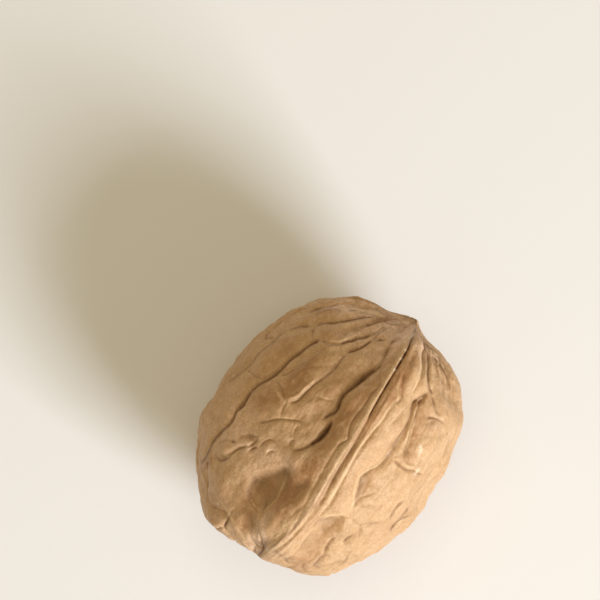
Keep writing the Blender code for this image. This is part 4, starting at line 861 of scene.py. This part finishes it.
def relief(points):
    """Height of the shell's surface above the smooth body."""
    top = points[:, 2] > 0
    traced = smooth_step(points[:, 2], *NET_TOP_EDGE[::-1])
    height = LUMP_HEIGHT * ripple(points, LUMP_SPACING, LUMP_SEED) * (1 - LUMP_LOSS_ON_TOP * traced)
    for wavelength, dent in DENTS:
        height += dent * ripple(points, wavelength, DENT_SEED)
    height -= NET_DEPTH * net(points) * (1 - NET_LOSS_ON_TOP * traced)
    height -= TIP_WRINKLE_DEPTH * tip_wrinkles(points)
    fade = smooth_step(np.abs(points[:, 2]), *SIDE_FADE)
    height += fade * np.where(top, keel(points), lower_keel(points))
    height -= fade * np.where(top, basins(points, UPPER_BASINS) + hollows(points, UPPER_HOLLOWS),
                              basins(points, LOWER_BASINS) + hollows(points, LOWER_HOLLOWS))
    height -= lines(points, UPPER_FURROWS, FURROW_SHAPE, True)
    height -= lines(points, UPPER_CREASES, CREASE_SHAPE, True)
    height -= lines(points, UPPER_CRACKS, CRACK_SHAPE, True)
    height += lines(points, UPPER_VEINS, VEIN_SHAPE, True)
    height -= lines(points, LOWER_FURROWS, FURROW_SHAPE, False)
    return height


def read_vectors(mesh, name):
    """A vector of each vertex, such as its place or its normal, as rows."""
    values = np.empty(len(mesh.vertices) * 3)
    mesh.vertices.foreach_get(name, values)
    return values.reshape(-1, 3)


def place_vertices(mesh, points):
    mesh.vertices.foreach_set("co", points.ravel())
    mesh.update()


def round_cube():
    """A cube of fine squares, and each vertex's direction on the sphere that it is rounded into."""
    cube = bmesh.new()
    bmesh.ops.create_cube(cube, size=2)
    bmesh.ops.subdivide_edges(cube, edges=cube.edges[:], cuts=GRID - 1, use_grid_fill=True)
    mesh = bpy.data.meshes.new("walnut_shell")
    cube.to_mesh(mesh)
    cube.free()
    directions = np.tan(read_vectors(mesh, "co") * math.pi / 4)
    return mesh, directions / np.linalg.norm(directions, axis=1)[:, None]


def smoothed(mesh, values, rounds):
    """Values of the vertices, averaged with their neighbours' again and again."""
    edges = np.empty(len(mesh.edges) * 2, int)
    mesh.edges.foreach_get("vertices", edges)
    a, b = edges.reshape(-1, 2).T
    count = np.bincount(edges, minlength=len(values))
    for _ in range(rounds):
        total = np.bincount(a, values[b], len(values)) + np.bincount(b, values[a], len(values))
        values = (values + total / count) / 2
    return values


def write_values(mesh, name, values):
    """Keeps a number of each vertex where the material can read it."""
    mesh.attributes.new(name, "FLOAT", "POINT").data.foreach_set("value", values.astype(np.float32))


def add_object(name, data):
    """A new object in the scene."""
    added = bpy.data.objects.new(name, data)
    bpy.context.scene.collection.objects.link(added)
    return added


def thinned(mesh):
    """The same surface with its triangles where it bends most, from a Decimate modifier."""
    full = add_object("full", mesh)
    full.modifiers.new("triangles", "TRIANGULATE")
    decimate = full.modifiers.new("fewer triangles", "DECIMATE")
    decimate.ratio = TRIANGLES / (2 * len(mesh.polygons))
    viewed = full.evaluated_get(bpy.context.evaluated_depsgraph_get())
    result = bpy.data.meshes.new_from_object(viewed)
    bpy.data.objects.remove(full)
    return result


def write_depths(mesh, body, height):
    """Keeps how deep each vertex lies in a crease, and how deep in a hollow, for the painted shade that
    darkens them.
    """
    near, wide = (smoothed(mesh, height, rounds) for rounds in (CREASE_ROUNDS, CELL_ROUNDS))
    shade = 1 - (1 - SHADE_AT_TIP) * smooth_step(body[:, 0], *TIP_SHADE_RANGE)
    write_values(mesh, "crease", (near - height) * shade)
    write_values(mesh, "hollow", wide - near)


def write_patches(mesh, points):
    """Keeps how brown and how pale each vertex is on the upper side: real patches of colour, with painted
    shade among the brown ones and painted light among the pale ones.
    """
    upper = smooth_step(points[:, 2], *PATCH_RISE)
    write_values(mesh, "stain_and_shade", np.clip(hollows(points, STAINS_AND_PAINTED_SHADE), 0, 1) * upper)
    write_values(mesh, "pale", np.clip(hollows(points, PALE_PATCHES_AND_PAINTED_LIGHT), 0, 1) * upper)


def write_drawing(mesh, points):
    """Keeps the painted shade along the furrows, creases and cracks, the painted highlights along pale
    ridges, and the pale specks, all drawn on the upper side.
    """
    facing = facing_up(points)
    shown = smooth_step(facing, *PAINTED_LINE_FACES_UP)
    dark = painted_lines(points, UPPER_FURROWS + UPPER_CREASES + UPPER_CRACKS)
    fainter = 1 - LINE_SHADE_LOSS * smooth_step(facing, *LINE_SHADE_FACES_UP)
    write_values(mesh, "painted_lines", dark * shown * fainter)
    write_values(mesh, "painted_highlight", painted_lines(points, PAINTED_HIGHLIGHT_EDGES) * shown)
    write_values(mesh, "speck", painted_lines(points, PALE_SPECKS, SPECK_END) * shown)


def make_shell(low, high):
    """The shell in fine relief in the box from low to high, and how far its plan was moved.

    Its top meets the top of the box, and what would go through the floor is flattened onto it.
    """
    mesh, directions = round_cube()
    body = directions * body_radius(directions)[:, None]
    place_vertices(mesh, body)
    height = relief(body)
    points = body + read_vectors(mesh, "normal") * height[:, None]
    write_depths(mesh, body, height)
    write_patches(mesh, points)
    write_drawing(mesh, points)
    move = (high + low) / 2 / MM - (points.max(0) + points.min(0)) / 2
    move[2] = high[2] / MM - points[:, 2].max()
    points += move
    points[:, 2] = np.maximum(points[:, 2], 0)
    place_vertices(mesh, points * MM)
    mesh = thinned(mesh)
    mesh.shade_smooth()
    return add_object("walnut_shell", mesh), move


class Nodes:
    """A new material and a short way to write its node tree."""

    def __init__(self, name):
        self.material = bpy.data.materials.new(name)
        self.material.use_nodes = True
        self.tree = self.material.node_tree
        self.shader = self.tree.nodes["Principled BSDF"].inputs

    def put(self, socket, value):
        if isinstance(value, bpy.types.NodeSocket):
            self.tree.links.new(value, socket)
        else:
            socket.default_value = value

    def add(self, kind, output, inputs, **settings):
        """Adds a node and gives back one of its outputs."""
        node = self.tree.nodes.new("ShaderNode" + kind)
        for name, setting in settings.items():
            setattr(node, name, setting)
        for socket, value in inputs.items():
            self.put(node.inputs[socket], value)
        return node.outputs[output]

    def noise(self, scale, detail, stretch):
        place = self.add("TexCoord", "Object", {})
        laid = self.add("Mapping", "Vector", {"Vector": place, "Scale": stretch})
        return self.add("TexNoise", "Fac", {"Vector": laid, "Scale": scale, "Detail": detail})

    def value(self, name):
        return self.add("Attribute", "Fac", {}, attribute_name=name)

    def spread(self, number, low, high):
        """Stretches the range from low to high over 0 to 1."""
        ends = {"Value": number, "From Min": low, "From Max": high}
        return self.add("MapRange", "Result", ends, clamp=True)

    def times(self, a, b):
        return self.add("Math", "Value", {0: a, 1: b}, operation="MULTIPLY")

    def blend(self, share, under, over):
        """Two colours mixed. Sockets that share a name are taken by number."""
        return self.add("Mix", 2, {0: share, 6: under, 7: over}, data_type="RGBA")


def shell_material():
    """Dry woody shell: tan and browner in blotches, with painted shade in its hollows, creases, furrows
    and cracks, painted highlights along ridges, pale patches that are partly painted light, and a fine
    grain.
    """
    n = Nodes("walnut_shell")
    noises = {name: n.noise(*settings) for name, settings in NOISES.items()}
    colour = (*WOOD, 1)
    for tint, strength, shares in LAYERS:
        for name, start, full in shares:
            source = noises.get(name) or n.value(name)
            strength = n.times(strength, n.spread(source, start, full))
        colour = n.blend(strength, colour, (*tint, 1))
    n.put(n.shader["Base Color"], colour)
    n.put(n.shader["Roughness"], SHELL_ROUGHNESS)
    n.put(n.shader["Specular IOR Level"], SHELL_GLOSS)
    grain = {"Height": n.noise(*GRAIN), "Strength": 1, "Distance": GRAIN_DEPTH}
    n.put(n.shader["Normal"], n.add("Bump", "Normal", grain))
    return n.material


def floor_material():
    n = Nodes("pale_floor")
    n.put(n.shader["Base Color"], FLOOR_COLOUR)
    n.put(n.shader["Roughness"], FLOOR_ROUGHNESS)
    return n.material


def make_floor():
    bpy.ops.mesh.primitive_plane_add(size=FLOOR_SIZE)
    floor = bpy.context.object
    floor.name = "floor"
    floor.data.materials.append(floor_material())


def make_light(name, place, size, power, colour):
    """A square soft light that faces the nut."""
    lamp = bpy.data.lights.new(name, "AREA")
    lamp.size, lamp.energy, lamp.color = size, power, colour
    holder = add_object(name, lamp)
    holder.location = place
    holder.rotation_euler = (-Vector(place)).to_track_quat("-Z", "Y").to_euler()


def make_lights():
    for light in LIGHTS:
        make_light(*light)
    world = bpy.data.worlds.new("studio")
    world.use_nodes = True
    background = world.node_tree.nodes["Background"]
    background.inputs["Color"].default_value = SKY_COLOUR
    background.inputs["Strength"].default_value = SKY_STRENGTH
    bpy.context.scene.world = world


# The photograph's frame: its size and the place of the nut's plan origin in pixels, pixels to a
# millimetre, and the way that the nut's tip points, in degrees above the right.
PHOTO_SIZE = 600
PHOTO_ORIGIN = (337.35, 438.95)
PHOTO_SCALE = 6.767
PHOTO_TIP_ANGLE = 56.1
CAMERA_DISTANCE = 2.6
SENSOR_WIDTH = 36


def make_camera(move):
    """Looks straight down in the photograph's frame. move, in mm, takes plan places to the scene."""
    turn = math.radians(PHOTO_TIP_ANGLE)
    right = Vector((math.cos(turn), -math.sin(turn), 0))
    up = Vector((math.sin(turn), math.cos(turn), 0))
    off_right = (PHOTO_SIZE / 2 - PHOTO_ORIGIN[0]) / PHOTO_SCALE
    off_up = (PHOTO_ORIGIN[1] - PHOTO_SIZE / 2) / PHOTO_SCALE
    centre = (right * off_right + up * off_up + Vector(move)) * MM
    data = bpy.data.cameras.new("camera")
    data.sensor_width = SENSOR_WIDTH
    data.lens = SENSOR_WIDTH * CAMERA_DISTANCE / (PHOTO_SIZE / PHOTO_SCALE * MM)
    camera = add_object("camera", data)
    axes = Matrix((right, up, right.cross(up))).transposed()
    camera.matrix_world = Matrix.Translation(centre + Vector((0, 0, CAMERA_DISTANCE))) @ axes.to_4x4()
    bpy.context.scene.camera = camera


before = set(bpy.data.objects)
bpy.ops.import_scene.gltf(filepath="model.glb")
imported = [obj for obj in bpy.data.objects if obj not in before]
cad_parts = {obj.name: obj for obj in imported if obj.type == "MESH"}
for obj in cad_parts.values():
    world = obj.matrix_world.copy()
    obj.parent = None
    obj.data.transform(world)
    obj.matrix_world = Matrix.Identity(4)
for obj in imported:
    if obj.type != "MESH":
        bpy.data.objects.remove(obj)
cad_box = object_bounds()
low, high = np.array(cad_box[0]), np.array(cad_box[1])
shell, plan_move = make_shell(low, high)
shell.data.materials.append(shell_material())
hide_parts("walnut")
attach(shell, "root")
make_floor()
make_lights()
make_camera(plan_move)
bpy.context.scene.view_settings.view_transform = "Standard"
